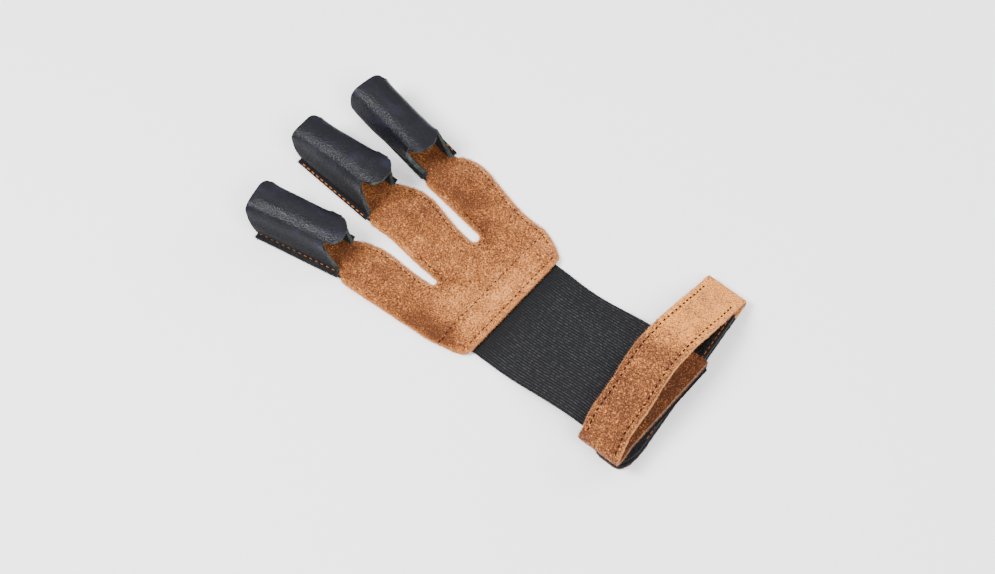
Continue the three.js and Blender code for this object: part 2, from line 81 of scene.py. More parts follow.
class Signal:
    """A shader socket that arithmetic can be written on."""

    def __init__(self, shader: Shader, socket: bpy.types.NodeSocket) -> None:
        """Wraps one output socket of a shader."""
        self.shader = shader
        self.socket = socket

    def _math(self, operation: str, first: Signal | float, second: Signal | float | None = None) -> Signal:
        """Adds a Math node of one or two values."""
        values = {0: first} if second is None else {0: first, 1: second}
        return self.shader.node("ShaderNodeMath", {"operation": operation}, values)

    def __add__(self, other: Signal | float) -> Signal:
        """self + other."""
        return self._math("ADD", self, other)

    def __radd__(self, other: float) -> Signal:
        """other + self."""
        return self._math("ADD", other, self)

    def __sub__(self, other: Signal | float) -> Signal:
        """self - other."""
        return self._math("SUBTRACT", self, other)

    def __rsub__(self, other: float) -> Signal:
        """other - self."""
        return self._math("SUBTRACT", other, self)

    def __mul__(self, other: Signal | float) -> Signal:
        """self * other."""
        return self._math("MULTIPLY", self, other)

    def __rmul__(self, other: float) -> Signal:
        """other * self."""
        return self._math("MULTIPLY", other, self)

    def clamped(self) -> Signal:
        """Kept between 0 and 1."""
        return self.shader.node("ShaderNodeClamp", {}, {"Value": self})

    def sine(self) -> Signal:
        """Its sine."""
        return self._math("SINE", self)

    def above(self, limit: float) -> Signal:
        """1 where it is over a limit, else 0."""
        return self._math("GREATER_THAN", self, limit)

    def ramp(self, low: float, high: float) -> Signal:
        """Rises smoothly from 0 to 1 between two values."""
        return self.shader.node(
            "ShaderNodeMapRange",
            {"interpolation_type": "SMOOTHSTEP"},
            {"Value": self, "From Min": low, "From Max": high},
        )


class Shader:
    """One material and the nodes written into it."""

    def __init__(self, name: str) -> None:
        """Starts an empty material.

        Args:
            name: what the finish is called.
        """
        self.material = bpy.data.materials.new(name)
        self.material.use_nodes = True
        self.tree = self.material.node_tree
        self.tree.nodes.clear()
        self.output = self.tree.nodes.new("ShaderNodeOutputMaterial")

    def node(self, kind: str, settings: dict, inputs: dict, output: int | str = 0) -> Signal:
        """Adds a node.

        Args:
            kind: the node's type.
            settings: its own settings, set first.
            inputs: values or signals for its sockets, by name or number.
            output: which of its outputs is wanted.

        Returns:
            The wanted output.
        """
        made = self.tree.nodes.new(kind)
        for key, value in settings.items():
            setattr(made, key, value)
        for key, value in inputs.items():
            if isinstance(value, Signal):
                self.tree.links.new(value.socket, made.inputs[key])
            else:
                made.inputs[key].default_value = value
        return Signal(self, made.outputs[output])

    def place(self) -> Signal:
        """Object coordinates in metres."""
        return self.node("ShaderNodeTexCoord", {}, {}, "Object")

    def stretched(self, scale: tuple[float, float, float], turn: float = 0.0) -> Signal:
        """Object coordinates, turned about Z and scaled along each axis."""
        turned = self.node("ShaderNodeMapping", {}, {"Vector": self.place(), "Rotation": (0.0, 0.0, turn)})
        return self.node("ShaderNodeMapping", {}, {"Vector": turned, "Scale": scale})

    def axis(self, name: str) -> Signal:
        """One of the object coordinates X, Y or Z."""
        return self.node("ShaderNodeSeparateXYZ", {}, {0: self.place()}, name)

    def attribute(self, name: str) -> Signal:
        """A number that the mesh keeps at its points."""
        return self.node("ShaderNodeAttribute", {"attribute_name": name}, {}, "Fac")

    def noise(self, size: float, detail: float = 2.0, vector: Signal | None = None) -> Signal:
        """Soft noise from 0 to 1 with blotches of a size in metres."""
        inputs = {"Vector": vector or self.place(), "Scale": 1 / size, "Detail": detail}
        return self.node("ShaderNodeTexNoise", {}, inputs, 0)

    def cells(self, size: float) -> Signal:
        """Distance to the nearest of scattered points, as in leather grain."""
        inputs = {"Vector": self.place(), "Scale": 1 / size}
        return self.node("ShaderNodeTexVoronoi", {}, inputs, "Distance")

    def mix(self, share: Signal | float, first: Signal | Colour, second: Signal | Colour) -> Signal:
        """Goes from the first colour to the second one.

        Args:
            share: how much of the second colour, from 0 to 1.
            first: a colour or a signal.
            second: a colour or a signal.

        Returns:
            The mixed colour.
        """

        def colour(value: Signal | Colour) -> Signal | tuple:
            """A colour with its alpha, or the signal as it is."""
            return value if isinstance(value, Signal) else (*value, 1.0)

        inputs = {0: share, 6: colour(first), 7: colour(second)}
        return self.node("ShaderNodeMix", {"data_type": "RGBA"}, inputs, 2)

    def bump(self, height: Signal, distance: float, strength: float = 1.0) -> Signal:
        """A normal roughened by a height, whose full range is a distance in metres."""
        inputs = {"Height": height, "Distance": distance, "Strength": strength}
        return self.node("ShaderNodeBump", {}, inputs, "Normal")

    def surface(self, **sockets: Signal | Colour | float) -> bpy.types.Material:
        """Ends the material in a Principled shader.

        Args:
            sockets: the shader's inputs, with _ for a space in their names.

        Returns:
            The finished material.
        """
        inputs = {}
        for key, value in sockets.items():
            name = key.replace("_", " ")
            inputs[name] = (*value, 1.0) if isinstance(value, tuple) else value
        shader = self.node("ShaderNodeBsdfPrincipled", {}, inputs, "BSDF")
        self.tree.links.new(shader.socket, self.output.inputs["Surface"])
        return self.material


@dataclass(frozen=True)
class SuedeFinish:
    """Napped suede: mottled, with pale and dark fibres and a paler cut edge."""

    name: str
    light: Colour
    middle: Colour
    dark: Colour
    edge: Colour
    blotch: float = 5 * MM
    mottle: float = 1.2 * MM
    fibre: float = 0.4 * MM
    fibre_shape: tuple[float, float, float] = (1.0, 0.45, 1.0)
    fibre_turns: tuple[float, float] = (0.6, -0.8)
    relief: float = 0.42 * MM
    contrast: float = 4.3
    blotch_contrast: float = 0.9
    lightness: float = 0.42

    def build(self) -> bpy.types.Material:
        """Writes the material.

        Returns:
            The finished material.
        """
        shader = Shader(self.name)
        blotch = shader.noise(self.blotch, 3.0)
        mottle = shader.noise(self.mottle, 3.0)
        strands, counter = (
            shader.noise(self.fibre, 2.0, shader.stretched(self.fibre_shape, turn))
            for turn in self.fibre_turns
        )
        height = mottle * 0.16 + strands * 0.52 + counter * 0.52
        tone = (height - 0.6) * self.contrast + (blotch - 0.5) * self.blotch_contrast
        # The shade attribute brings in each piece's own tone, painted light and shade included.
        tone = tone + shader.attribute(SHADE) + self.lightness
        low = shader.mix(tone.ramp(0.0, 0.5), self.dark, self.middle)
        body = shader.mix(tone.ramp(0.5, 1.0), low, self.light)
        rim = (shader.attribute(EDGE) * (0.55 + mottle * 0.6)).clamped()
        return shader.surface(
            Base_Color=shader.mix(rim, body, self.edge),
            Roughness=0.95,
            Specular_IOR_Level=0.15,
            Sheen_Weight=0.08,
            Sheen_Roughness=0.5,
            Normal=shader.bump(height, self.relief),
        )


@dataclass(frozen=True)
class FibreFinish:
    """Loose fibres of the nap, each with its own shade."""

    name: str
    light: Colour
    dark: Colour

    def build(self) -> bpy.types.Material:
        """Writes the material.

        Returns:
            The finished material.
        """
        shader = Shader(self.name)
        tone = shader.attribute(SHADE).clamped()
        return shader.surface(
            Base_Color=shader.mix(tone, self.dark, self.light),
            Roughness=0.9,
            Specular_IOR_Level=0.15,
            Sheen_Weight=0.2,
        )


@dataclass(frozen=True)
class PadFinish:
    """Smooth dyed leather with a fine pebble grain, a soft sheen and a painted, mottled bluish sheen on its
    upper parts.
    """

    name: str
    colour: Colour
    roof_sheen: Colour
    grain: float = 0.7 * MM
    fine: float = 0.6 * MM
    crease: float = 5 * MM
    relief: float = 0.32 * MM
    roughness: float = 0.62
    polish: float = 0.43
    polish_and_sheen_above: tuple[float, float] = (9 * MM, 16 * MM)

    def build(self) -> bpy.types.Material:
        """Writes the material.

        Returns:
            The finished material.
        """
        shader = Shader(self.name)
        grain = shader.cells(self.grain)
        fine = shader.noise(self.fine, 3.0)
        crease = shader.noise(self.crease, 3.0, shader.stretched((1.0, 0.5, 1.0)))
        height = grain * 0.45 + fine * 0.4 + crease * 0.8
        # Painted highlight: higher up, mottled patches get a lighter bluish colour that stands in for the
        # sheen of light on the roofs; the same rise also makes the leather less rough.
        upper = shader.axis("Z").ramp(*self.polish_and_sheen_above)
        painted_roof_sheen = ((crease.ramp(0.45, 0.8) * 0.5 + fine.ramp(0.55, 0.9) * 0.35) * upper).clamped()
        return shader.surface(
            Base_Color=shader.mix(painted_roof_sheen, self.colour, self.roof_sheen),
            Roughness=(self.roughness + fine * 0.28 + crease * 0.14 - upper * self.polish).clamped(),
            Specular_IOR_Level=0.2,
            Normal=shader.bump(height, self.relief),
        )


@dataclass(frozen=True)
class CutEdgeFinish:
    """The cut edge of a pad, where the pale middle of the leather shows through the dye."""

    name: str
    pale: Colour
    dyed: Colour
    strand: float = 0.5 * MM
    patch: float = 3 * MM
    relief: float = 0.15 * MM

    def build(self) -> bpy.types.Material:
        """Writes the material.

        Returns:
            The finished material.
        """
        shader = Shader(self.name)
        strands = shader.noise(self.strand, 3.0)
        patches = shader.noise(self.patch, 2.0)
        share = (strands * 0.9 + patches * 1.3 - 0.75).clamped()
        return shader.surface(
            Base_Color=shader.mix(share, self.dyed, self.pale),
            Roughness=0.85,
            Specular_IOR_Level=0.2,
            Normal=shader.bump(strands, self.relief),
        )


@dataclass(frozen=True)
class ElasticFinish:
    """Woven elastic: ribs along the panel, each broken into dashes by the crossing threads, with painted
    light on the rib tops, painted shade in the grooves, painted glints and a painted shadow along the hem.
    """

    name: str
    groove: Colour
    rib: Colour
    glint: Colour
    pitch: float = 52 * MM / 46
    dash: float = 1.0 * MM
    fray: float = 0.5 * MM
    relief: float = 0.22 * MM
    hem_shadow: tuple[float, float] = (-14 * MM, 1 * MM)

    def build(self) -> bpy.types.Material:
        """Writes the material.

        Returns:
            The finished material.
        """
        shader = Shader(self.name)
        across, along = shader.axis("X"), shader.axis("Y")
        turn = 2 * math.pi
        ribs = (across * (turn / self.pitch)).sine() * 0.5 + 0.5
        stagger = (across * (turn / (2 * self.pitch))).sine().above(0.0) * math.pi
        dashes = (along * (turn / self.dash) + stagger).sine() * 0.5 + 0.5
        fray = shader.noise(self.fray, 3.0, shader.stretched((1.0, 0.4, 1.0)))
        # Painted shadow along the hem, and painted light and shade: lighter rib tops over darker grooves.
        outside_hem_shadow = 1 - along.ramp(*self.hem_shadow) * 0.95
        thread = (ribs.ramp(0.35, 0.85) * (0.45 + dashes * 0.55) * outside_hem_shadow).clamped()
        base = shader.mix(thread, self.groove, self.rib)
        # Painted glints on the threads.
        shine = (thread * fray.ramp(0.42, 0.75)).clamped()
        height = ribs * 0.7 + dashes * ribs * 0.35 + fray * 0.3
        return shader.surface(
            Base_Color=shader.mix(shine, base, self.glint),
            Roughness=0.78,
            Specular_IOR_Level=0.2,
            Normal=shader.bump(height, self.relief),
        )


@dataclass(frozen=True)
class ThreadFinish:
    """Twisted sewing thread."""

    name: str
    colour: Colour
    dark: Colour
    twist: float = 0.35 * MM
    relief: float = 0.08 * MM

    def build(self) -> bpy.types.Material:
        """Writes the material.

        Returns:
            The finished material.
        """
        shader = Shader(self.name)
        lay = (shader.axis("X") + shader.axis("Y")) * (2 * math.pi / self.twist)
        strand = lay.sine() * 0.5 + 0.5
        return shader.surface(
            Base_Color=shader.mix(strand.ramp(0.2, 0.9), self.dark, self.colour),
            Roughness=0.8,
            Specular_IOR_Level=0.12,
            Normal=shader.bump(strand, self.relief),
        )


@dataclass(frozen=True)
class TapeFinish:
    """Hook or loop tape: a dark woven ground with a speckle of plastic."""

    name: str
    ground: Colour
    speck: Colour
    size: float
    roughness: float
    relief: float = 0.3 * MM

    def build(self) -> bpy.types.Material:
        """Writes the material.

        Returns:
            The finished material.
        """
        shader = Shader(self.name)
        speck = shader.cells(self.size).ramp(0.15, 0.55)
        fuzz = shader.noise(self.size * 0.5, 3.0)
        share = ((1 - speck) * (0.4 + fuzz * 0.8)).clamped()
        return shader.surface(
            Base_Color=shader.mix(share, self.ground, self.speck),
            Roughness=self.roughness,
            Specular_IOR_Level=0.2,
            Normal=shader.bump(fuzz - speck * 0.5, self.relief),
        )


class Finish(Enum):
    """Every finish of the glove."""

    PALM = SuedeFinish(
        "palm_suede", linear(206, 136, 76), linear(136, 80, 40), linear(78, 41, 20), linear(172, 108, 56)
    )
    STRAP = SuedeFinish(
        "strap_suede", linear(238, 152, 60), linear(136, 83, 48), linear(76, 41, 24), linear(206, 146, 84)
    )
    NAP = FibreFinish("suede_nap", linear(214, 142, 76), linear(64, 32, 16))
    FRINGE = FibreFinish("suede_fringe", linear(198, 128, 70), linear(112, 58, 26))
    PAD = PadFinish("pad_leather", linear(11, 11, 17), linear(34, 34, 54))
    PAD_EDGE = CutEdgeFinish("pad_cut_edge", linear(86, 97, 96), linear(9, 12, 13))
    PAD_INSIDE = SuedeFinish(
        "pad_flesh_side", linear(34, 34, 36), linear(22, 22, 24), linear(10, 10, 12), linear(26, 27, 27),
        relief=0.2 * MM,
    )
    ELASTIC = ElasticFinish("elastic", linear(7, 7, 9), linear(27, 27, 30), linear(62, 62, 66))
    DARK_THREAD = ThreadFinish("dark_thread", linear(44, 18, 8), linear(16, 7, 4))
    ORANGE_THREAD = ThreadFinish("orange_thread", linear(208, 126, 46), linear(140, 74, 24))
    BROWN_THREAD = ThreadFinish("brown_thread", linear(178, 100, 42), linear(110, 58, 24))
    HOOK = TapeFinish("hook_tape", linear(5, 5, 7), linear(22, 23, 28), 1.1 * MM, 0.6)
    LOOP = TapeFinish("loop_tape", linear(6, 6, 8), linear(18, 18, 22), 0.8 * MM, 0.95)
    PLASTIC = TapeFinish("hook_plastic", linear(10, 10, 12), linear(34, 35, 42), 0.6 * MM, 0.5)

    def material(self) -> bpy.types.Material:
        """The finish's material.

        Returns:
            The material, written at its first use.
        """
        name = self.value.name + "_looks"
        found = bpy.data.materials.get(name)
        if found is None:
            found = self.value.build()
            found.name = name
        return found


def node_mesh(node: str) -> bmesh.types.BMesh:
    """A merged copy of a CAD node's mesh.

    Args:
        node: the node's name.

    Returns:
        The copy, in the frame's place.
    """
    source = frame_node(node)
    made = bmesh.new()
    made.from_mesh(source.data)
    made.transform(source.matrix_world)
    bmesh.ops.remove_doubles(made, verts=made.verts, dist=MERGE_DISTANCE)
    return made


def frame_node(node: str) -> bpy.types.Object:
    """The object of a CAD node."""
    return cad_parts[node]


def mesh_of(made: bmesh.types.BMesh, name: str) -> bpy.types.Mesh:
    """Writes a bmesh to a new mesh and frees it.

    Args:
        made: the bmesh.
        name: the mesh's name.

    Returns:
        The mesh.
    """
    mesh = bpy.data.meshes.new(name)
    made.to_mesh(mesh)
    made.free()
    return mesh


def add_object(name: str, data: bpy.types.ID) -> bpy.types.Object:
    """Adds a mesh, light or camera to the scene.

    Args:
        name: the object's name.
        data: what it shows.

    Returns:
        The object.
    """
    added = bpy.data.objects.new(name, data)
    bpy.context.scene.collection.objects.link(added)
    return added


def point_tree(points: list[Vector]) -> kdtree.KDTree:
    """A tree that finds the nearest of some points.

    Args:
        points: the points, which it knows by number.

    Returns:
        The tree, ready for use.
    """
    tree = kdtree.KDTree(len(points))
    for number, point in enumerate(points):
        tree.insert(point, number)
    tree.balance()
    return tree


def publish(name: str, made: bmesh.types.BMesh, finishes: Iterable[Finish]) -> bpy.types.Object:
    """Makes a finished piece of a bmesh.

    Args:
        name: the piece's name.
        made: its mesh, which is freed.
        finishes: its finishes, by material index.

    Returns:
        The piece, riding on the glove's one body.
    """
    mesh = mesh_of(made, name)
    for finish in finishes:
        mesh.materials.append(finish.material())
    mesh.shade_smooth()
    piece = add_object(name, mesh)
    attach(piece, BODY)
    LOG.info("%s: %d faces", name, len(mesh.polygons))
    return piece


def remeshed(made: bmesh.types.BMesh, voxel: float, smoothing: int) -> bmesh.types.BMesh:
    """Rebuilds a closed wall in even small faces with soft edges.

    Args:
        made: the wall, which is freed.
        voxel: size of the new faces.
        smoothing: rounds of smoothing afterwards.

    Returns:
        The new mesh.
    """
    mesh = mesh_of(made, "wall")
    holder = add_object("wall", mesh)
    modifier = holder.modifiers.new("even", "REMESH")
    modifier.mode = "VOXEL"
    modifier.voxel_size = voxel
    graph = bpy.context.evaluated_depsgraph_get()
    even = bpy.data.meshes.new_from_object(holder.evaluated_get(graph))
    result = bmesh.new()
    result.from_mesh(even)
    bpy.data.objects.remove(holder)
    bpy.data.meshes.remove(mesh)
    bpy.data.meshes.remove(even)
    for _ in range(smoothing):
        bmesh.ops.smooth_vert(
            result, verts=result.verts, factor=0.5, use_axis_x=True, use_axis_y=True, use_axis_z=True
        )
    result.normal_update()
    return result


def connected_sheet(made: bmesh.types.BMesh, seed: bmesh.types.BMFace) -> set[bmesh.types.BMFace]:
    """The faces reached from one face without crossing a sharp edge.

    Args:
        made: the wall's mesh.
        seed: the face to start from.

    Returns:
        The faces found.
    """
    found = {seed}
    front = [seed]
    while front:
        face = front.pop()
        for edge in face.edges:
            if len(edge.link_faces) != 2 or edge.calc_face_angle(0) > SHARP_ANGLE:
                continue
            for other in edge.link_faces:
                if other not in found:
                    found.add(other)
                    front.append(other)
    return found


@dataclass(frozen=True)
class RimPoint:
    """A point on the border of a sheet, with the way into the sheet and out of its face."""

    place: Vector
    inward: Vector
    normal: Vector


class Rim:
    """The closed border of one sheet of a wall, walked in even steps."""

    STEP = 0.5 * MM
    SMOOTHING = 6

    def __init__(self, made: bmesh.types.BMesh, sheet: set[bmesh.types.BMFace]) -> None:
        """Walks the border.

        Args:
            made: the wall's mesh.
            sheet: the faces whose border it is.
        """
        ring = {}
        for edge in made.edges:
            inside = [face for face in edge.link_faces if face in sheet]
            if len(inside) != 1:
                continue
            loop = next(loop for loop in inside[0].loops if loop.edge == edge)
            ring[loop.vert] = (loop.link_loop_next.vert, inside[0].normal.copy())
        loops = []
        while ring:
            start = next(iter(ring))
            walk, here = [], start
            while here in ring:
                following, normal = ring.pop(here)
                walk.append((here.co.copy(), following.co.copy(), normal))
                here = following
            loops.append(walk)
        walk = max(loops, key=lambda found: sum((b - a).length for a, b, _ in found))
        self.points = list(self._even(walk))

    def _even(self, walk: list[tuple[Vector, Vector, Vector]]) -> Iterable[RimPoint]:
        """Points at even steps along the walk's segments.

        Args:
            walk: each segment's start, end and face normal.

        Returns:
            The points, one by one.
        """
        left = 0.0
        for start, end, normal in walk:
            length = (end - start).length
            if length < MERGE_DISTANCE:
                continue
            along = (end - start) / length
            inward = normal.cross(along).normalized()
            while left <= length:
                yield RimPoint(start + along * left, inward, normal)
                left += self.STEP
            left -= length

    def nearest(self, place: Vector) -> int:
        """The number of the point nearest to a place."""
        return min(range(len(self.points)), key=lambda i: (self.points[i].place - place).length_squared)

    def run(self, start: Vector, end: Vector, inset: float, via: Vector | None = None) -> list[Vector]:
        """A line inside the border from near one place to near another one.

        Args:
            start: where it starts.
            end: where it ends.
            inset: how far inside the border it lies.
            via: a place it passes, or None for the shorter way.

        Returns:
            Its points, smoothed at the border's corners.
        """
        count = len(self.points)
        first, last = self.nearest(start), self.nearest(end)
        ahead = [(first + i) % count for i in range((last - first) % count + 1)]
        back = [(first - i) % count for i in range((first - last) % count + 1)]
        if via is None:
            chosen = min(ahead, back, key=len)
        else:
            middle = self.nearest(via)
            chosen = ahead if middle in ahead else back
        line = [self.points[i].place + self.points[i].inward * inset for i in chosen]
        for _ in range(self.SMOOTHING):
            inner = [(a + b * 2 + c) / 4 for a, b, c in zip(line, line[1:], line[2:])]
            line = [line[0], *inner, line[-1]]
        return line


class Surface:
    """A finished piece's mesh, for laying things on it."""

    def __init__(self, made: bmesh.types.BMesh) -> None:
        """Keeps a tree of the mesh's faces."""
        self.tree = BVHTree.FromBMesh(made)

    def onto(self, place: Vector) -> tuple[Vector, Vector]:
        """The nearest point of the surface and its normal."""
        point, normal, _, _ = self.tree.find_nearest(place)
        return point, normal


@dataclass(frozen=True)
class Stitching:
    """A row of running stitches.

    sink is how deep the thread lies in the leather. At its ends the thread is narrower and flatter by
    a share of its width, and lies lower by a share of its thickness.
    """

    length: float
    pitch: float
    thickness: float
    sink: float
    sides: int = 6
    narrowing: float = 0.45
    flattening: float = 0.3
    dip: float = 0.75

    def template(self) -> bpy.types.Mesh:
        """One stitch along X: a thread that dips into the leather at both ends.

        Returns:
            The stitch's mesh.
        """
        made = bmesh.new()
        bmesh.ops.create_cone(
            made, segments=self.sides, radius1=self.thickness / 2, radius2=self.thickness / 2,
            depth=self.length, cap_ends=True,
        )
        bmesh.ops.rotate(made, verts=made.verts, matrix=Matrix.Rotation(math.pi / 2, 3, "Y"))
        half = self.length / 2
        walls = [edge for edge in made.edges if abs(edge.verts[0].co.x - edge.verts[1].co.x) > half]
        bmesh.ops.subdivide_edges(made, edges=walls, cuts=3)
        for vert in made.verts:
            share = (abs(vert.co.x) / half) ** 3
            vert.co.y *= 1 - self.narrowing * share
            vert.co.z = vert.co.z * (1 - self.flattening * share) - self.thickness * self.dip * share
        bmesh.ops.recalc_face_normals(made, faces=made.faces)
        return mesh_of(made, "stitch")

    def sew(self, into: bmesh.types.BMesh, line: list[Vector], surface: Surface) -> None:
        """Lays stitches along a line.

        Args:
            into: the mesh that gets the stitches.
            line: the seam's points.
            surface: what it is sewn on.
        """
        mesh = self.template()
        travelled, due = 0.0, self.pitch / 2
        for start, end in zip(line, line[1:]):
            step = (end - start).length
            while due <= travelled + step:
                place = start.lerp(end, (due - travelled) / step)
                point, normal = surface.onto(place)
                add_turned(into, mesh, point - normal * self.sink, end - start, normal)
                due += self.pitch
            travelled += step
        bpy.data.meshes.remove(mesh)

    def sew_all(self, name: str, lines: list[list[Vector]], surface: Surface, slot: str) -> None:
        """Sews a suede piece's seams in dark thread.

        Args:
            name: what the stitches are called.
            lines: the seams' points.
            surface: what they are sewn on.
            slot: not used.
        """
        made = bmesh.new()
        for line in lines:
            self.sew(made, line, surface)
        publish(name, made, [Finish.DARK_THREAD])


def add_turned(
    into: bmesh.types.BMesh, mesh: bpy.types.Mesh, place: Vector, along: Vector, up: Vector
) -> None:
    """Adds a copy of a small mesh whose X runs along a direction and whose Z is near another one.

    Args:
        into: the mesh that gets the copy.
        mesh: the small mesh.
        place: where its origin goes.
        along: where its X points.
        up: what its Z is near.
    """
    x_axis = along.normalized()
    y_axis = up.cross(x_axis).normalized()
    z_axis = x_axis.cross(y_axis)
    turned = Matrix((x_axis, y_axis, z_axis)).transposed().to_4x4()
    turned.translation = place
    mesh.transform(turned)
    into.from_mesh(mesh)
    mesh.transform(turned.inverted())


@dataclass(frozen=True)
class Fibres:
    """Loose fibres that stand on a piece. lift is 0 for flat lying fibres and 1 for upright ones."""

    ROOT = 0.1 * MM
    LOWEST = 0.1 * MM
    SET_IN = 0.3 * MM
    SWIRLS_PER_METRE = 140
    SWIRL = 3
    STRAY = 1.3
    SPREAD = 0.55
    LEAN = 0.3
    UNEVENNESS = 0.25

    length: float
    width: float
    lift: float
    seed: int

    def _blade(
        self, into: bmesh.types.BMesh, foot: Vector, way: Vector, normal: Vector, tone: float, scale: float
    ) -> None:
        """Adds one fibre, a narrow triangle.

        Args:
            into: the mesh that gets it.
            foot: where it stands.
            way: where it points.
            normal: the way out of the surface that it stands on.
            tone: its shade, from 0 to 1.
            scale: its length as a share of the usual one.
        """
        layer = into.verts.layers.float[SHADE]
        aside = way.cross(normal).normalized() * (self.width / 2)
        base = foot - normal * self.ROOT
        tip = foot + way * (self.length * scale)
        tip.z = max(tip.z, self.LOWEST)
        corners = [base - aside, base + aside, tip]
        verts = [into.verts.new(corner) for corner in corners]
        for vert in verts:
            vert[layer] = tone
        into.faces.new(verts)

    def cover(
        self, made: bmesh.types.BMesh, count: int, keep: Callable[[Vector, Vector], float]
    ) -> bmesh.types.BMesh:
        """Strews fibres over a surface.

        Args:
            made: the surface.
            count: how many fibres to try.
            keep: how likely a fibre stays at a place with a normal, from 0 to 1.

        Returns:
            The fibres' mesh.
        """
        chance = random.Random(self.seed)
        into = fibre_mesh()
        shade = made.verts.layers.float.get(SHADE)
        faces = list(made.faces)
        areas = [face.calc_area() for face in faces]
        for face in chance.choices(faces, weights=areas, k=count):
            weights = [chance.random() for _ in face.verts]
            total = sum(weights)
            foot = sum((v.co * (w / total) for v, w in zip(face.verts, weights)), Vector())
            if chance.random() > keep(foot, face.normal):
                continue
            swirl = noise.noise(foot * self.SWIRLS_PER_METRE) * self.SWIRL
            swirl += chance.uniform(-self.STRAY, self.STRAY)
            flat = Vector((math.cos(swirl), math.sin(swirl), chance.uniform(-self.LEAN, self.LEAN)))
            flat -= face.normal * flat.dot(face.normal)
            way = (flat.normalized() * (1 - self.lift) + face.normal * self.lift).normalized()
            # Each fibre takes the shade of the suede under it, painted light and shade included.
            base = 0.5 + (face.verts[0][shade] if shade else 0.0)
            tone = base + chance.gauss(0, self.UNEVENNESS)
            self._blade(into, foot, way, face.normal, tone, chance.uniform(0.5, 1.2))
        return into

    def fringe(self, into: bmesh.types.BMesh, rim: Rim, per_point: int, drop: float) -> None:
        """Lets fibres stand out from a border.

        Args:
            into: the mesh that gets them.
            rim: the border.
            per_point: how many at each of its points.
            drop: how far down the wall their feet may lie.
        """
        chance = random.Random(self.seed)
        for point in rim.points:
            for _ in range(per_point):
                outward = -point.inward
                foot = point.place - point.normal * chance.uniform(0, drop)
                foot += point.inward * self.SET_IN
                side = point.normal.cross(outward)
                way = outward + side * chance.gauss(0, self.SPREAD)
                way += point.normal * chance.gauss(0.1, self.LEAN)
                tone = chance.gauss(0.6, self.UNEVENNESS)
                self._blade(into, foot, way.normalized(), point.normal, tone, chance.uniform(0.4, 1.3))


def fibre_mesh() -> bmesh.types.BMesh:
    """An empty mesh that keeps a shade at its points.

    Returns:
        The mesh.
    """
    made = bmesh.new()
    made.verts.layers.float.new(SHADE)
    return made


@dataclass(frozen=True)
class Spot:
    """A soft patch painted lighter or darker to stand in for light and shade: an ellipse, in millimetres,
    turned by some degrees.
    """

    x: float
    y: float
    across: float
    along: float
    shade: float
    turn: float = 0.0

    def at(self, place: Vector) -> float:
        """Its share of the shade at a place.

        Args:
            place: where.

        Returns:
            The shade it adds there.
        """
        angle = math.radians(self.turn)
        dx, dy = place.x - self.x * MM, place.y - self.y * MM
        u = (dx * math.cos(angle) + dy * math.sin(angle)) / (self.across * MM)
        v = (dy * math.cos(angle) - dx * math.sin(angle)) / (self.along * MM)
        return self.shade * math.exp(-u * u - v * v)


def groove(made: bmesh.types.BMesh, lines: list[list[Vector]], width: float, depth: float) -> None:
    """Presses a shallow groove into a surface along seams.

    Args:
        made: the surface.
        lines: the seams' points.
        width: how wide the groove is.
        depth: how deep it is.
    """
    seams = Seams(lines)
    moves = []
    for vert in made.verts:
        distance = seams.tree.find(vert.co)[2]
        if distance < width:
            share = math.cos(math.pi / 2 * distance / width) ** 2
            moves.append((vert, vert.normal * (-depth * share)))
    for vert, move in moves:
        vert.co += move
    made.normal_update()


class Seams:
    """The lines sewn on a piece, for keeping its nap off them."""

    def __init__(self, lines: list[list[Vector]]) -> None:
        """Keeps every point of the lines."""
        self.tree = point_tree([point for line in lines for point in line])

    def clear(self, place: Vector, distance: float) -> bool:
        """True where no seam is nearer than a distance."""
        return self.tree.find(place)[2] > distance


def keep_above_floor(made: bmesh.types.BMesh) -> None:
    """Lifts what noise has pushed below the level that the glove lies on."""
    for vert in made.verts:
        vert.co.z = max(vert.co.z, LOWEST)


def roughen(made: bmesh.types.BMesh, size: float, height: float, edge_gain: float) -> None:
    """Moves a surface in and out by noise, more at its edges.

    Args:
        made: the surface, with its edge layer filled in.
        size: the noise's size.
        height: how far it moves the surface.
        edge_gain: how many times more it moves the edges.
    """
    layer = made.verts.layers.float[EDGE]
    for vert in made.verts:
        value = noise.noise(vert.co / size) + 0.5 * noise.noise(vert.co * (2.3 / size))
        gain = 1 + (edge_gain - 1) * vert[layer]
        vert.co += vert.normal * (value * height * gain)
    made.normal_update()


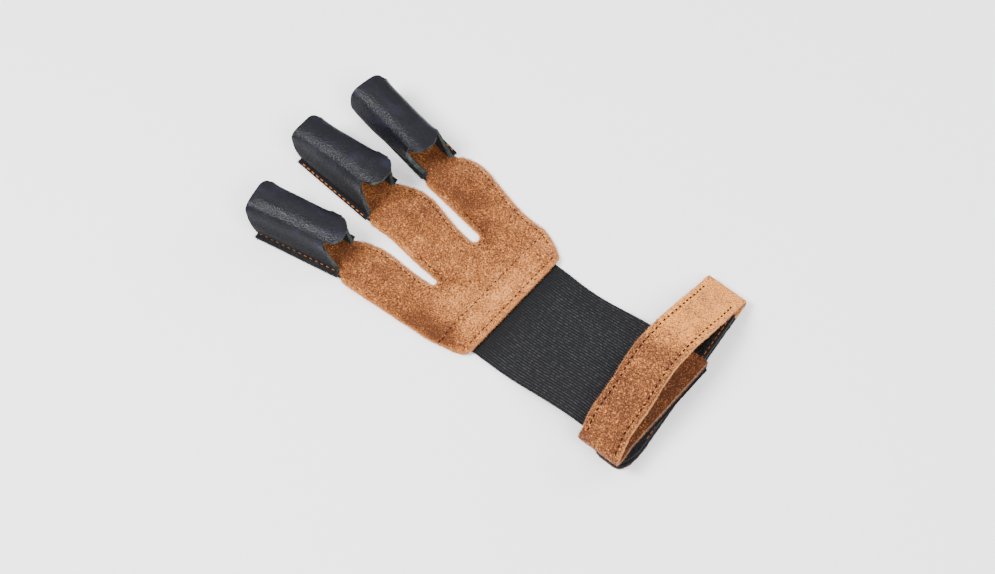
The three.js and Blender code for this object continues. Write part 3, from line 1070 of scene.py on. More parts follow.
@dataclass
class SuedePalm:
    """The palm with its three strips, its ragged edges, nap and seams.

    A seam's route is its start, its end and a place on its way, in millimetres. A hem seam is how far it
    lies from the hem and half its length.
    """

    voxel: float = 0.6 * MM
    crown: float = 0.55 * MM
    crown_width: float = 3.2 * MM
    crown_drop: float = 1.7
    crown_lift: float = 0.7
    edge_width: tuple[float, float] = (0.1 * MM, 1.1 * MM)
    hem_rise: tuple[float, float] = (1 * MM, 5 * MM)
    band: tuple[float, float] = (1.8 * MM, 2.3 * MM)
    band_shade: float = 0.12
    level: float = 1.6 * MM
    hem_level: float = 3.2 * MM
    seam_inset: float = 2.4 * MM
    seam_routes: tuple[tuple[tuple[float, float], ...], ...] = (
        ((42, 60), (35.5, 5)),
        ((13, 68), (20.5, 44), (14.6, 31)),
        ((-17, 60), (-8, 44), (-11.8, 31)),
    )
    hem_seams: tuple[tuple[float, float], ...] = ((2.5 * MM, 27 * MM), (12.6 * MM, 35.5 * MM))
    hem_left: float = 0.93
    hem_steps: int = 60
    seam_clearance: float = 0.75 * MM
    groove_width: float = 1.1 * MM
    groove_depth: float = 0.3 * MM
    rough_size: float = 1.6 * MM
    rough_height: float = 0.14 * MM
    rough_edge: float = 2.2
    pull_in: float = 1.1 * MM
    pull_fade: tuple[float, float] = (0.5 * MM, 3.5 * MM)
    pads_from: float = 52 * MM
    dyed_from: float = 58 * MM
    dye_reach: float = 1.6 * MM
    nap_count: int = 52000
    stitching: Stitching = Stitching(1.7 * MM, 2.5 * MM, 0.5 * MM, -0.03 * MM)
    # Painted light and shade: the three spots at the pads' mouths are painted shadow, those at the slits'
    # ends and on the ring's side of the palm are painted shade in the hollows, and the rest are painted
    # light and shade of the strips' gentle waves.
    painted_light_and_shade_spots: tuple[Spot, ...] = (
        Spot(-28, 67, 11, 6, -0.42, 10),
        Spot(3, 74, 12, 6, -0.26),
        Spot(31, 68, 11, 6, -0.42, -10),
        Spot(-24, 48, 10, 12, -0.14, 10),
        Spot(-9, 31, 4, 6, -0.30),
        Spot(18, 32, 4, 7, -0.36),
        Spot(-30, 16, 8, 13, -0.52),
        Spot(-33, 34, 7, 14, -0.22),
        Spot(0, 7, 34, 5, 0.34),
        Spot(-12, 20, 12, 7, 0.22),
        Spot(-2, 48, 8, 9, 0.04),
        Spot(5, 57, 11, 9, -0.24),
        Spot(27, 48, 9, 14, -0.40, -10),
        Spot(38, 20, 8, 9, 0.10),
    )

    def build(self) -> None:
        """Makes the suede, its nap and its stitches."""
        cut = node_mesh("glove_body")
        top = {face for face in cut.faces if face.normal.z > 0.5}
        rim = Rim(cut, top)
        lines = self.seams(rim)
        suede = remeshed(cut, self.voxel, 2)
        self.shape(suede, rim, lines)
        surface = Surface(suede)
        self.stitching.sew_all("palm_stitches", lines, surface, "palm_suede")
        self.strew(suede, rim, Seams([[surface.onto(point)[0] for point in line] for line in lines]))
        self.darken_under_pads(suede)
        piece = publish("palm_suede", suede, [Finish.PALM, Finish.PAD_INSIDE])
        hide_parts("glove_body")

    @staticmethod
    def pad_distance(place: Vector) -> float:
        """How far beside a place the nearest pad is, 0 under one.

        Args:
            place: where.

        Returns:
            The distance, seen from above.
        """
        found = 1.0
        for node in ("stall_ring", "stall_middle", "stall_index"):
            hit = frame_node(node).closest_point_on_mesh(place)
            if hit[0]:
                found = min(found, (hit[1] - place).to_2d().length)
        return found

    def darken_under_pads(self, suede: bmesh.types.BMesh) -> None:
        """Dyes the cut edges under the pads black.

        Args:
            suede: the palm's mesh, with its edge layer filled in.
        """
        edge = suede.verts.layers.float[EDGE]
        for face in suede.faces:
            place = face.calc_center_median()
            edge_face = place.y > self.dyed_from and max(v[edge] for v in face.verts) > 0.2
            if edge_face and self.pad_distance(place) < self.dye_reach:
                face.material_index = 1

    def seams(self, rim: Rim) -> list[list[Vector]]:
        """The seams' lines: outer edge, round both slits and along the hem.

        Args:
            rim: the palm's upper border.

        Returns:
            One list of points a seam.
        """

        def at(x: float, y: float) -> Vector:
            """A place in millimetres on the surface's level."""
            return Vector((x * MM, y * MM, self.level))

        lines = []
        for start, end, *via in self.seam_routes:
            lines.append(rim.run(at(*start), at(*end), self.seam_inset, at(*via[0]) if via else None))
        for along, half in self.hem_seams:
            left, right = -half * self.hem_left, half
            xs = [left + (right - left) * i / self.hem_steps for i in range(self.hem_steps + 1)]
            lines.append([Vector((x, along, self.hem_level)) for x in xs])
        return lines

    def shape(self, suede: bmesh.types.BMesh, rim: Rim, lines: list[list[Vector]]) -> None:
        """Rounds the edges, presses the seams in and paints light and shade on the suede.

        Args:
            suede: the remeshed wall.
            rim: its upper border.
            lines: the seams.
        """
        tree = point_tree([point.place.to_2d().to_3d() for point in rim.points])
        edge = suede.verts.layers.float.new(EDGE)
        shade = suede.verts.layers.float.new(SHADE)
        for vert in suede.verts:
            _, number, distance = tree.find(vert.co.to_2d().to_3d())
            under = 0.0
            if vert.co.y > self.pads_from and distance < self.crown_width:
                under = 1 - smooth_step(self.pad_distance(vert.co), *self.pull_fade)
                fall = under * (1 - smooth_step(distance, 0, self.crown_width))
                vert.co += rim.points[number].inward * (self.pull_in * fall)
            vert[edge] = 1 - smooth_step(distance, *self.edge_width)
            upper = max(0.0, vert.normal.z)
            fall = 1 - smooth_step(distance, 0, self.crown_width)
            hem = smooth_step(vert.co.y, *self.hem_rise)
            rise = self.crown * (self.crown_lift - self.crown_drop * fall)
            vert.co.z += upper * rise * hem * (1 - under)
            # Painted light and shade from the spots.
            vert[shade] = sum(spot.at(vert.co) for spot in self.painted_light_and_shade_spots)
            vert[shade] += self.band_shade * (0.5 - smooth_step(distance, *self.band))
        suede.normal_update()
        groove(suede, lines, self.groove_width, self.groove_depth)
        roughen(suede, self.rough_size, self.rough_height, self.rough_edge)
        keep_above_floor(suede)

    def strew(self, suede: bmesh.types.BMesh, rim: Rim, seams: Seams) -> None:
        """Lays the nap on the palm side and lets fibres stand out of the edges.

        Args:
            suede: the palm's mesh.
            rim: its upper border before it was pulled in.
            seams: the seams, which stay bare.
        """

        def likely(place: Vector, normal: Vector) -> float:
            """Nap grows on the upper face only."""
            return 1.0 if normal.z > 0.3 and seams.clear(place, self.seam_clearance) else 0.0

        nap = Fibres(0.95 * MM, 0.17 * MM, 0.3, 11).cover(suede, self.nap_count, likely)
        publish("palm_nap", nap, [Finish.NAP])
        fringe = fibre_mesh()
        rim.points = list(self.open_rim(rim))
        Fibres(0.9 * MM, 0.12 * MM, 0.2, 12).fringe(fringe, rim, 7, 1.4 * MM)
        publish("palm_fringe", fringe, [Finish.FRINGE])

    def open_rim(self, rim: Rim) -> Iterable[RimPoint]:
        """Finds the border that isn't under a pad, pulled in as the suede is.

        Args:
            rim: the border before it was pulled in.

        Returns:
            Its points, one by one.
        """
        for point in rim.points:
            away = self.pad_distance(point.place)
            if away > self.dye_reach:
                move = self.pull_in * (1 - smooth_step(away, *self.pull_fade))
                yield RimPoint(point.place + point.inward * move, point.inward, point.normal)


@dataclass
class FingerPads:
    """The three leather pads with their cut edges and sewn sides.

    The turns are degrees towards the little finger, and the bows are how far each near wall bulges out.
    """

    WALL_LIMIT = 2.4 * MM
    LEAST_FACE = 0.5 * MM * MM
    BEHIND = 0.05 * MM
    END_FACING = 0.35
    ALONG_FACING = 0.5

    fingers: tuple[str, ...] = ("ring", "middle", "index")
    turns: tuple[float, ...] = (10.7, -1.5, -9.7)
    bevel: float = 0.35 * MM
    seam_inset: float = 0.6 * MM
    end_gap: int = 2
    ripple: float = 0.16 * MM
    ripple_size: float = 9 * MM
    ripple_rise: tuple[float, float] = (5 * MM, 12 * MM)
    flat_angle: float = math.radians(30)
    shape_angle: float = math.radians(60)
    cuts: int = 2
    rounding: int = 60
    rounded_above: float = 6 * MM
    thinning: float = 0.65 * MM
    thinned_above: tuple[float, float] = (4 * MM, 6.5 * MM)
    stitching: Stitching = Stitching(2.3 * MM, 2.6 * MM, 0.55 * MM, 0.03 * MM)
    bows: tuple[float, ...] = (1.0 * MM, 1.0 * MM, 3.4 * MM)
    flange_top: float = 4.2 * MM
    flange_fade: float = 6.5 * MM
    flange_foot: float = 1.9 * MM
    flange_press: float = 0.5
    settle: float = 0.25 * MM
    shoulder: float = 2.0 * MM
    shoulder_width: float = 8.5 * MM
    shoulder_least: float = 0.3
    shoulder_slant: tuple[float, float] = (0.8, 0.6)
    slice_length: float = 2 * MM
    slices: int = 11
    crown: float = 0.5 * MM
    crown_middle: float = 8 * MM
    crown_half: float = 10 * MM
    roof: tuple[float, float] = (12 * MM, 15 * MM)
    bulge_side: tuple[float, float] = (-1 * MM, 5 * MM)
    bulge_run: tuple[float, float] = (0.08, 0.7)
    bulge_least: float = 0.35
    bulge_foot: tuple[float, float] = (3.7 * MM, 5.8 * MM)
    bulge_top: tuple[float, float] = (9 * MM, 18 * MM)
    tip_tuck: float = 1.2 * MM
    tip_length: float = 3 * MM

    def build(self) -> None:
        """Makes each finger's pad and its two seams."""
        threads = bmesh.new()
        for finger, turn, bow in zip(self.fingers, self.turns, self.bows):
            self.pad(finger, turn, bow, threads)
        publish("pad_stitches", threads, [Finish.ORANGE_THREAD])

    def pad(self, finger: str, turn: float, bow: float, threads: bmesh.types.BMesh) -> None:
        """Makes one pad.

        Args:
            finger: the finger's name.
            turn: its turn towards the little finger, in degrees.
            bow: how far the wall on the little finger's side bulges out over its sewn edge.
            threads: the mesh that gets its stitches.
        """
        node = f"stall_{finger}"
        leather = node_mesh(node)
        forward = Vector((-math.sin(math.radians(turn)), math.cos(math.radians(turn)), 0.0))
        crown = max(leather.faces, key=lambda face: face.calc_center_median().z)
        outer = connected_sheet(leather, crown)
        rim = Rim(leather, outer)
        surface = Surface(leather)
        inner = {face for face in leather.faces if face not in outer and self._faces_in(face, surface)}
        for face in leather.faces:
            if face in outer:
                face.material_index = 0
            elif abs(face.normal.dot(forward)) > self.END_FACING and face not in inner:
                face.material_index = 1
            else:
                face.material_index = 2 if face in inner else 0
        self.sew(rim, forward, surface, threads)
        self.thin(inner)
        self.soften(leather, forward, bow)
        finishes = [Finish.PAD, Finish.PAD_EDGE, Finish.PAD_INSIDE]
        piece = publish(f"pad_{finger}", leather, finishes)
        smooth = piece.modifiers.new("smooth", "SUBSURF")
        smooth.levels = smooth.render_levels = 1
        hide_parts(node)

    @classmethod
    def _faces_in(cls, face: bmesh.types.BMFace, surface: Surface) -> bool:
        """Tells the flesh side, which looks at the finger: leather lies close behind it.

        Args:
            face: the face.
            surface: the pad's surface.

        Returns:
            Whether it is on the flesh side.
        """
        centre = face.calc_center_median()
        hit = surface.tree.ray_cast(centre - face.normal * cls.BEHIND, -face.normal)
        return hit[0] is not None and hit[3] < cls.WALL_LIMIT and face.calc_area() > cls.LEAST_FACE

    def thin(self, inner: set[bmesh.types.BMFace]) -> None:
        """Draws the flesh side towards the smooth side, so the cut edges are as thin as real ones.

        Args:
            inner: the flesh side's faces.
        """
        moves = {}
        for face in inner:
            for vert in face.verts:
                moves[vert] = moves.get(vert, Vector()) + face.normal
        for vert, way in moves.items():
            share = smooth_step(vert.co.z, *self.thinned_above)
            vert.co -= way.normalized() * (self.thinning * share)

    def sew(self, rim: Rim, forward: Vector, surface: Surface, threads: bmesh.types.BMesh) -> None:
        """Sews both edges of a pad along its flanges.

        Args:
            rim: the smooth side's border.
            forward: the way the finger points.
            surface: the pad's surface.
            threads: the mesh that gets the stitches.
        """
        low = [point for point in rim.points if point.place.z < self.flange_top]
        aside = forward.cross(UP)
        spread = [point.place.dot(aside) for point in low]
        middle = (min(spread) + max(spread)) / 2
        for side in (-1, 1):
            mine = [
                p for p in low
                if side * (p.place.dot(aside) - middle) > 0
                and abs(p.inward.dot(forward)) < self.ALONG_FACING
            ]
            mine.sort(key=lambda point: point.place.dot(forward))
            between = mine[self.end_gap:-self.end_gap]
            line = [point.place + point.inward * self.seam_inset for point in between]
            sewn = bmesh.new()
            self.stitching.sew(sewn, line, surface)
            self.flatten(sewn)
            row = mesh_of(sewn, "row")
            threads.from_mesh(row)
            bpy.data.meshes.remove(row)

    def flatten(self, made: bmesh.types.BMesh) -> None:
        """Presses the sewn flanges flat.

        Args:
            made: the pad's mesh, or its stitches.
        """
        for vert in made.verts:
            above = vert.co.z - self.flange_foot
            share = 1 - smooth_step(vert.co.z, self.flange_top, self.flange_fade)
            vert.co.z -= (max(0.0, above) * self.flange_press + self.settle) * share

    def soften(self, leather: bmesh.types.BMesh, forward: Vector, bow: float) -> None:
        """Turns the triangles to quads, rounds shoulders and cut edges, and bows and ripples the leather.

        Args:
            leather: the pad's mesh.
            forward: the way the finger points.
            bow: how far the near wall bulges.
        """
        bmesh.ops.join_triangles(
            leather, faces=leather.faces, cmp_materials=True,
            angle_face_threshold=self.flat_angle, angle_shape_threshold=self.shape_angle,
        )
        bmesh.ops.subdivide_edges(leather, edges=leather.edges, cuts=self.cuts, use_grid_fill=True)
        self.round_shoulder(leather, forward)
        rims = {
            vert for edge in leather.edges if edge.calc_face_angle(0) > SHARP_ANGLE for vert in edge.verts
        }
        free = [vert for vert in leather.verts if vert not in rims and vert.co.z > self.rounded_above]
        for _ in range(self.rounding):
            bmesh.ops.smooth_vert(
                leather, verts=free, factor=0.5, use_axis_x=True, use_axis_y=True, use_axis_z=True
            )
        self.bulge(leather, forward, bow)
        self.flatten(leather)
        sharp = [edge for edge in leather.edges if edge.calc_face_angle(0) > SHARP_ANGLE]
        bmesh.ops.bevel(
            leather, geom=sharp, offset=self.bevel, offset_type="OFFSET", segments=2, profile=0.5,
            affect="EDGES", clamp_overlap=True, material=-1,
        )
        leather.normal_update()
        for vert in leather.verts:
            lift = smooth_step(vert.co.z, *self.ripple_rise)
            vert.co += vert.normal * (noise.noise(vert.co / self.ripple_size) * self.ripple * lift)

    def round_shoulder(self, leather: bmesh.types.BMesh, forward: Vector) -> None:
        """Gives the near shoulder a wide soft curve, less so at the tip, and the roof a slight crown.

        Args:
            leather: the pad's mesh.
            forward: the way the finger points.
        """
        aside = forward.cross(UP)
        up, out = self.shoulder_slant
        slant = (UP * up - aside * out).normalized()
        front = max(vert.co.dot(forward) for vert in leather.verts)
        ridge: dict[int, bmesh.types.BMVert] = {}
        for vert in leather.verts:
            number = int((front - vert.co.dot(forward)) / self.slice_length)
            if number >= self.slices:
                continue
            if number not in ridge or vert.co.dot(slant) > ridge[number].co.dot(slant):
                ridge[number] = vert
        tip, back = ridge[min(ridge)].co.copy(), ridge[max(ridge)].co.copy()
        for vert in leather.verts:
            share = (tip - vert.co).dot(forward) / (tip - back).dot(forward)
            away = vert.co - tip.lerp(back, share)
            amount = self.shoulder_least + (1 - self.shoulder_least) * smooth_step(share, 0.0, 0.5)
            fall = max(0.0, 1 - away.length / self.shoulder_width) ** 2
            vert.co -= slant * (self.shoulder * amount * fall)
            across = (away.dot(aside) - self.crown_middle) / self.crown_half
            vert.co.z += self.crown * max(0.0, 1 - across * across) * smooth_step(vert.co.z, *self.roof)

    def bulge(self, leather: bmesh.types.BMesh, forward: Vector, bow: float) -> None:
        """Pushes the near wall out over its sewn edge, most of all at the tip.

        Args:
            leather: the pad's mesh.
            forward: the way the finger points.
            bow: how far it goes.
        """
        aside = forward.cross(UP)
        along = [vert.co.dot(forward) for vert in leather.verts]
        across = [vert.co.dot(aside) for vert in leather.verts]
        back, front = min(along), max(along)
        middle = (min(across) + max(across)) / 2
        for vert in leather.verts:
            side = smooth_step(middle - vert.co.dot(aside), *self.bulge_side)
            height = smooth_step(vert.co.z, *self.bulge_foot) * (1 - smooth_step(vert.co.z, *self.bulge_top))
            share = smooth_step((vert.co.dot(forward) - back) / (front - back), *self.bulge_run)
            amount = self.bulge_least + (1 - self.bulge_least) * share
            vert.co -= aside * (bow * side * height * amount)
            if vert.co.z < self.flange_top:
                tip = smooth_step(vert.co.dot(forward), front - self.tip_length, front)
                vert.co += aside * (self.tip_tuck * side * tip)


@dataclass
class ElasticPanel:
    """The ribbed elastic from under the palm hem to the strap."""

    width: float = 52 * MM
    end: float = -76.5 * MM
    tuck: float = 12.5 * MM
    wall: float = 1.4 * MM
    top: float = 6.1 * MM
    climb: tuple[float, float] = (11.68 * MM, 51.39 * MM)
    ribs: int = 46
    rib_height: float = 0.16 * MM
    rows: int = 120
    steps_per_rib: int = 6
    waist: float = 0.9 * MM
    waist_length: float = 55 * MM
    flat_length: float = 93 * MM
    unevenness: float = 0.15 * MM
    unevenness_size: float = 12 * MM
    smooth_hem: tuple[float, float] = (2 * MM, 9 * MM)

    def build(self) -> None:
        """Makes the panel out of one grid and gives it its thickness."""
        made = bmesh.new()
        length = self.tuck - self.end
        columns = self.ribs * self.steps_per_rib
        bmesh.ops.create_grid(made, x_segments=columns, y_segments=self.rows, size=0.5)
        bmesh.ops.scale(made, verts=made.verts, vec=(self.width, length, 1.0))
        bmesh.ops.translate(made, verts=made.verts, vec=(0.0, (self.tuck + self.end) / 2, 0.0))
        for vert in made.verts:
            vert.co = self.placed(vert.co)
        made.normal_update()
        bmesh.ops.recalc_face_normals(made, faces=made.faces)
        if sum(face.normal.z for face in made.faces) < 0:
            bmesh.ops.reverse_faces(made, faces=made.faces)
        bmesh.ops.solidify(made, geom=made.faces, thickness=self.wall - self.rib_height)
        piece = publish("elastic_panel", made, [Finish.ELASTIC])
        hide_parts("elastic_band")

    def placed(self, flat: Vector) -> Vector:
        """Where a point of the flat grid lies.

        Args:
            flat: the point.

        Returns:
            Its place in the frame.
        """
        lift = self.top * smooth_step(-flat.y, *self.climb)
        share = flat.x / (self.width / 2)
        narrowing = math.sin(math.pi * smooth_step(-flat.y, 0, self.waist_length))
        waist = self.waist * narrowing * smooth_step(share, 0.5, 1)
        phase = math.pi * self.ribs * (share + 1) / 2
        rib = self.rib_height * abs(math.sin(phase))
        rough = noise.noise(flat / self.unevenness_size) * self.unevenness
        rough *= smooth_step(-flat.y, *self.smooth_hem)
        return Vector((flat.x - waist, flat.y, lift + self.wall - self.rib_height + rib + max(0.0, rough)))


@dataclass
class WristStrap:
    """The folded suede strap: sewn end, seat fold, band, tab fold and tab.

    The band is painted lighter along its run, on the half that slopes towards +X beyond its crest, and the
    sewn end is darker; the inside of the tab fold is painted shade.
    """

    voxel: float = 0.5 * MM
    seam_inset: float = 2.4 * MM
    seam_ends: tuple[float, float] = (-30.5 * MM, 58 * MM)
    seam_clearance: float = 0.8 * MM
    groove_width: float = 1.0 * MM
    groove_depth: float = 0.32 * MM
    rough_size: float = 1.5 * MM
    rough_height: float = 0.12 * MM
    rough_edge: float = 2.0
    edge_turn: tuple[float, float] = (0.55, 0.95)
    plain_edge: float = 0.1
    plain_top: float = 10.4 * MM
    plain_end: float = 52 * MM
    band_run: tuple[float, float] = (4 * MM, 30 * MM)
    band_painted_light_and_shade: tuple[float, float] = (-0.26, 0.34)
    patch_size: float = 6 * MM
    patch_shade: float = 0.08
    sewn_shade: float = -0.44
    fold_painted_shade: float = -0.5
    nap_above: float = 7.5 * MM
    nap_end: float = 53 * MM
    fringe_above: float = 7.6 * MM
    fringe_end: float = 48 * MM
    fold_fringe_above: float = 13 * MM
    nap_count: int = 42000
    stitching: Stitching = Stitching(2.0 * MM, 2.75 * MM, 0.72 * MM, -0.05 * MM)
    sewn_start: float = -30 * MM
    sewn_end: float = 27 * MM
    sewn_top: float = 10.6 * MM
    seat_shift: float = 1.0 * MM
    fold_start: float = 44 * MM
    tab_top: float = 2.8 * MM
    tape_start: float = 52.3 * MM
    bare_rim: float = 9 * MM
    bare_below: float = 1.2 * MM

    def build(self) -> None:
        """Makes the strap, its nap and its two seams."""
        cut = node_mesh("wrist_strap")
        crown = max(cut.faces, key=lambda face: (face.normal.z > 0.5, face.calc_center_median().z))
        outer = connected_sheet(cut, crown)
        rim = Rim(cut, outer)
        lines = self.seams(rim)
        suede = remeshed(cut, self.voxel, 2)
        rim.points = [RimPoint(self.shifted(p.place), p.inward, p.normal) for p in rim.points]
        self.shape(suede, lines)
        surface = Surface(suede)
        self.stitching.sew_all("strap_stitches", lines, surface, "strap_suede")
        self.strew(suede, rim, Seams([[surface.onto(point)[0] for point in line] for line in lines]))
        for face in suede.faces:
            place = face.calc_center_median()
            tab = place.z < self.tab_top and place.x < self.tape_start and face.normal.z > -0.5
            if tab and (place.z > self.bare_below or place.x > self.bare_rim):
                face.material_index = 1
        piece = publish("strap_suede", suede, [Finish.STRAP, Finish.HOOK])
        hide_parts("wrist_strap")

    def shifted(self, place: Vector) -> Vector:
        """Where a point lies once the sewn end has moved a little towards the fingers.

        Args:
            place: the point.

        Returns:
            Its new place.
        """
        sewn = place.x < self.sewn_end and 7 * MM < place.z < self.sewn_top
        if not sewn:
            return place
        shift = self.seat_shift * smooth_step(place.x, self.sewn_start, self.sewn_start + 10 * MM)
        return Vector((place.x, place.y + shift, place.z))

    def seams(self, rim: Rim) -> list[list[Vector]]:
        """Both seams of the band, from one fold to the other.

        Args:
            rim: the strap's outer border.

        Returns:
            One list of points a seam.
        """
        start_x, end_x = self.seam_ends
        lines = []
        for side in (-1, 1):
            points = [
                p for p in rim.points
                if abs(p.inward.y) > 0.5 and p.inward.y * side < 0 and p.place.z > 8 * MM
                and p.normal.z > 0.25 and start_x < p.place.x < end_x
            ]
            points.sort(key=lambda p: p.place.x)
            lines.append([p.place + p.inward * self.seam_inset for p in points])
        return lines

    def shape(self, suede: bmesh.types.BMesh, lines: list[list[Vector]]) -> None:
        """Rounds the suede and paints light and shade on it.

        Args:
            suede: the remeshed wall.
            lines: the seams.
        """
        edge = suede.verts.layers.float.new(EDGE)
        shade = suede.verts.layers.float.new(SHADE)
        dark, light = self.band_painted_light_and_shade
        for vert in suede.verts:
            vert[edge] = smooth_step(abs(vert.normal.y), *self.edge_turn)
            if vert.co.z < self.plain_top and vert.co.x < self.plain_end:
                vert[edge] *= self.plain_edge
            # Painted light: the band's half beyond its crest, sloping towards +X, is lighter and the other
            # half darker.
            vert[shade] = dark + (light - dark) * smooth_step(vert.co.x, *self.band_run)
            vert[shade] += self.patch_shade * noise.noise(vert.co / self.patch_size)
            if self.sewn_start < vert.co.x < self.sewn_end and vert.co.z < self.sewn_top:
                vert[shade] = self.sewn_shade
            # Painted shade inside the tab fold, where it looks into the mouth of the loop, with its pale cut
            # edge toned down.
            if self.inside_fold(vert.co, vert.normal):
                vert[edge] *= self.plain_edge
                vert[shade] = self.fold_painted_shade
            vert.co = self.shifted(vert.co)
        groove(suede, lines, self.groove_width, self.groove_depth)
        roughen(suede, self.rough_size, self.rough_height, self.rough_edge)
        keep_above_floor(suede)

    def inside_fold(self, place: Vector, normal: Vector) -> bool:
        """True on the side of the tab fold that looks at the loop."""
        return place.x > self.fold_start and normal.x < 0.2 and normal.z < 0.2

    def strew(self, suede: bmesh.types.BMesh, rim: Rim, seams: Seams) -> None:
        """Lays the nap on all that shows and lets fibres stand out of the edges.

        Args:
            suede: the strap's mesh.
            rim: its outer border.
            seams: the seams, which stay bare.
        """

        def likely(place: Vector, normal: Vector) -> float:
            """Nap grows on the band, the sewn end and both folds, but not under the tapes.

            Args:
                place: where.
                normal: the way out of the suede there.

            Returns:
                How likely a fibre stays.
            """
            under = place.z < self.nap_above and place.x < self.nap_end
            if under or not seams.clear(place, self.seam_clearance):
                return 0.0
            return 0.25 if normal.z < -0.3 or self.inside_fold(place, normal) else 1.0

        nap = Fibres(0.9 * MM, 0.17 * MM, 0.3, 21).cover(suede, self.nap_count, likely)
        publish("strap_nap", nap, [Finish.NAP])
        fringe = fibre_mesh()
        fibres = Fibres(0.85 * MM, 0.12 * MM, 0.2, 22)
        lowest = {True: self.fringe_above, False: self.fold_fringe_above}
        rim.points = [p for p in rim.points if p.place.z > lowest[p.place.x < self.fringe_end]]
        fibres.fringe(fringe, rim, 4, 1.6 * MM)
        publish("strap_fringe", fringe, [Finish.FRINGE])


@dataclass
class Closure:
    """The hook tape on the tab and the loop tape under the sewn end."""

    voxel: float = 0.45 * MM
    rough_size: float = 0.9 * MM
    rough_edge: float = 3.0
    hook_pitch: float = 1.15 * MM
    hook_height: float = 0.9 * MM
    hook_stem: float = 0.6
    hook_turn: float = math.radians(200)
    hook_top: float = 4.1 * MM
    tape_edge: float = 2.0 * MM
    free_from: float = 27.5 * MM
    free_below: float = -78.1 * MM
    hook_half: float = 0.11 * MM
    hook_bend: float = 0.3 * MM
    hook_run: float = 80 * MM
    seam_runs: tuple[tuple[float, float, float], ...] = (
        (27.5 * MM, 60 * MM, 1.3 * MM),
        (-14 * MM, 20 * MM, 0.5 * MM),
    )
    stitching: Stitching = Stitching(2.2 * MM, 2.6 * MM, 0.4 * MM, -0.05 * MM)

    def build(self) -> None:
        """Makes both tapes, the hooks and the tape's seam."""
        hook_tape = node_mesh("hook_tape")
        top = max(hook_tape.faces, key=lambda face: (face.normal.z > 0.5, face.calc_area()))
        rim = Rim(hook_tape, connected_sheet(hook_tape, top))
        self.tape(hook_tape, "hook_tape", "hook_tape_cloth", Finish.HOOK, 0.03)
        self.tape(node_mesh("loop_tape"), "loop_tape", "loop_tape_cloth", Finish.LOOP, 0.05)
        self.hooks(rim)
        self.seam(rim)

    def tape(self, made: bmesh.types.BMesh, node: str, name: str, finish: Finish, rough: float) -> None:
        """Makes one tape with soft edges.

        Args:
            made: a copy of the node.
            node: the node's name.
            name: the piece's name.
            finish: its finish.
            rough: how far noise moves its surface, in millimetres.
        """
        even = remeshed(made, self.voxel, 1)
        edge = even.verts.layers.float.new(EDGE)
        for vert in even.verts:
            vert[edge] = 1 - abs(vert.normal.z)
        roughen(even, self.rough_size, rough * MM, self.rough_edge)
        piece = publish(name, even, [finish])
        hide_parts(node)

    def free(self, x: float, y: float) -> bool:
        """True where nothing lies on the hook tape."""
        return x > self.free_from or y < self.free_below

    def hooks(self, rim: Rim) -> None:
        """Stands small bent hooks on the part of the tape that nothing lies on.

        Args:
            rim: the tape's border.
        """
        mesh = self.hook()
        made = bmesh.new()
        chance = random.Random(31)
        ys = sorted(point.place.y for point in rim.points)
        columns = int(self.hook_run / self.hook_pitch)
        rows = int((ys[-1] - ys[0]) / self.hook_pitch)
        tree = point_tree([point.place for point in rim.points])
        for column in range(-columns // 2 + 1, columns):
            for row in range(rows):
                x = column * self.hook_pitch + chance.uniform(-0.1, 0.1) * MM
                y = ys[0] + row * self.hook_pitch + chance.uniform(-0.1, 0.1) * MM
                place = Vector((x, y, self.hook_top))
                _, number, distance = tree.find(place)
                point = rim.points[number]
                inside = (place - point.place).dot(point.inward) > 0
                if not inside or distance < self.tape_edge or not self.free(x, y):
                    continue
                way = Vector((1 if row % 2 else -1, chance.uniform(-0.3, 0.3), 0))
                add_turned(made, mesh, place, way, UP)
        bpy.data.meshes.remove(mesh)
        publish("hooks", made, [Finish.PLASTIC])

    def hook(self) -> bpy.types.Mesh:
        """One hook: a thin stem spun over at its top.

        Returns:
            The hook's mesh.
        """
        made = bmesh.new()
        side = self.hook_half
        corners = [(-side, -side), (side, -side), (side, side), (-side, side)]
        base = [made.verts.new((x, y, 0)) for x, y in corners]
        made.faces.new(base)
        stem = bmesh.ops.extrude_face_region(made, geom=made.faces[:])
        raised = [item for item in stem["geom"] if isinstance(item, bmesh.types.BMVert)]
        bmesh.ops.translate(made, verts=raised, vec=(0, 0, self.hook_height * self.hook_stem))
        cap = [item for item in stem["geom"] if isinstance(item, bmesh.types.BMFace)]
        bmesh.ops.spin(
            made, geom=cap, cent=(self.hook_bend, 0, self.hook_height * self.hook_stem), axis=(0, 1, 0),
            angle=self.hook_turn, steps=4, use_duplicate=False,
        )
        bmesh.ops.recalc_face_normals(made, faces=made.faces)
        return mesh_of(made, "hook")

    def seam(self, rim: Rim) -> None:
        """Sews the tape's wrist edge where it shows.

        Args:
            rim: the tape's border.
        """
        surface_mesh = node_mesh("hook_tape")
        surface = Surface(surface_mesh)
        surface_mesh.free()
        made = bmesh.new()
        points = [p for p in rim.points if p.inward.y > 0.5]
        points.sort(key=lambda p: p.place.x)
        for low, high, inset in self.seam_runs:
            line = [p.place + p.inward * inset for p in points if low < p.place.x < high]
            self.stitching.sew(made, line, surface)
        publish("tape_stitches", made, [Finish.BROWN_THREAD])


@dataclass(frozen=True)
class Lamp:
    """A soft square light that looks at the glove."""

    name: str
    place: tuple[float, float, float]
    size: float
    power: float

    def build(self) -> None:
        """Makes the light."""
        data = bpy.data.lights.new(self.name, "AREA")
        data.size = self.size
        data.energy = self.power
        lamp = add_object(self.name, data)
        lamp.location = self.place
        lamp.rotation_euler = (-Vector(self.place)).to_track_quat("-Z", "Y").to_euler()


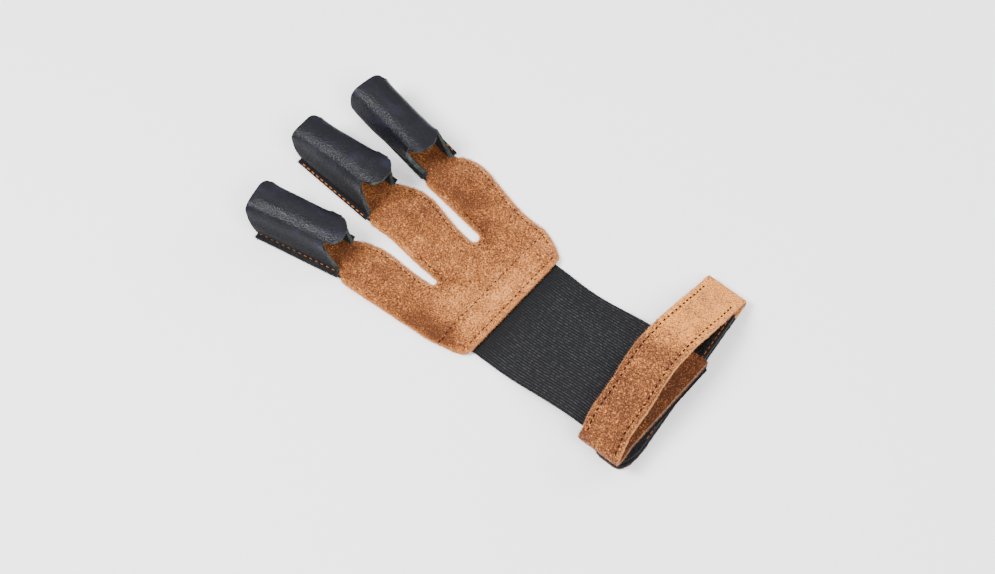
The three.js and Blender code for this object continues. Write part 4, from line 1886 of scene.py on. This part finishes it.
@dataclass
class Studio:
    """A pale floor, soft lights and the camera at the photograph's angle."""

    camera: Vector = field(default_factory=lambda: Vector((-0.4200, -0.3436, 0.9575)))
    target: Vector = field(default_factory=lambda: Vector((0.003503, 0.011775, 0.0)))
    lens: float = 100.0
    sensor: float = 36.0
    floor_colour: Colour = (0.97, 0.97, 0.97)
    floor_size: float = 3.0
    floor_drop: float = 0.15 * MM
    world_strength: float = 0.36
    lamps: tuple[Lamp, ...] = (
        Lamp("key", (-0.54, 0.38, 0.92), 0.42, 27.0),
        Lamp("top", (-0.25, -0.75, 1.10), 0.7, 20.0),
        Lamp("side", (0.85, -0.30, 0.50), 0.6, 8.0),
        Lamp("sheen", (0.52, 0.42, 1.15), 0.8, 6.0),
    )

    def build(self) -> None:
        """Makes the camera, floor, lights and sky."""
        self.aim()
        self.floor()
        for lamp in self.lamps:
            lamp.build()
        self.sky()

    def aim(self) -> None:
        """Makes the scene's camera."""
        data = bpy.data.cameras.new("camera")
        data.lens = self.lens
        data.sensor_width = self.sensor
        data.clip_start, data.clip_end = 0.01, 20.0
        camera = add_object("camera", data)
        camera.location = self.camera
        camera.rotation_euler = (self.target - self.camera).to_track_quat("-Z", "Y").to_euler()
        bpy.context.scene.camera = camera

    def floor(self) -> None:
        """Makes the floor."""
        made = bmesh.new()
        bmesh.ops.create_grid(made, x_segments=1, y_segments=1, size=self.floor_size)
        bmesh.ops.translate(made, verts=made.verts, vec=(0, 0, -self.floor_drop))
        mesh = mesh_of(made, "floor")
        shader = Shader("pale_floor")
        mesh.materials.append(shader.surface(Base_Color=self.floor_colour, Roughness=0.9))
        add_object("floor", mesh)

    def sky(self) -> None:
        """Fills the scene with plain light."""
        world = bpy.data.worlds.new("studio")
        world.use_nodes = True
        background = world.node_tree.nodes["Background"].inputs
        background["Strength"].default_value = self.world_strength
        background["Color"].default_value = (1.0, 1.0, 1.0, 1.0)
        bpy.context.scene.world = world


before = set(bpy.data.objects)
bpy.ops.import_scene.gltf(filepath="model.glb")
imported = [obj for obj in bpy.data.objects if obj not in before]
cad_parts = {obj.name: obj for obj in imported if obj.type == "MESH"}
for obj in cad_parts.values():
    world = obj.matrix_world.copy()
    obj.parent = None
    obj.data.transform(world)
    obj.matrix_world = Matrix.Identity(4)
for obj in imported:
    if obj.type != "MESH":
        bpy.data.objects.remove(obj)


def main() -> None:
    """Builds the glove's looks and the studio."""
    logging.basicConfig(level=logging.INFO, format="%(name)s: %(message)s")
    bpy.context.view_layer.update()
    Studio().build()
    for assembly in (SuedePalm(), FingerPads(), WristStrap(), ElasticPanel(), Closure()):
        assembly.build()


if __name__ == "__main__":
    main()
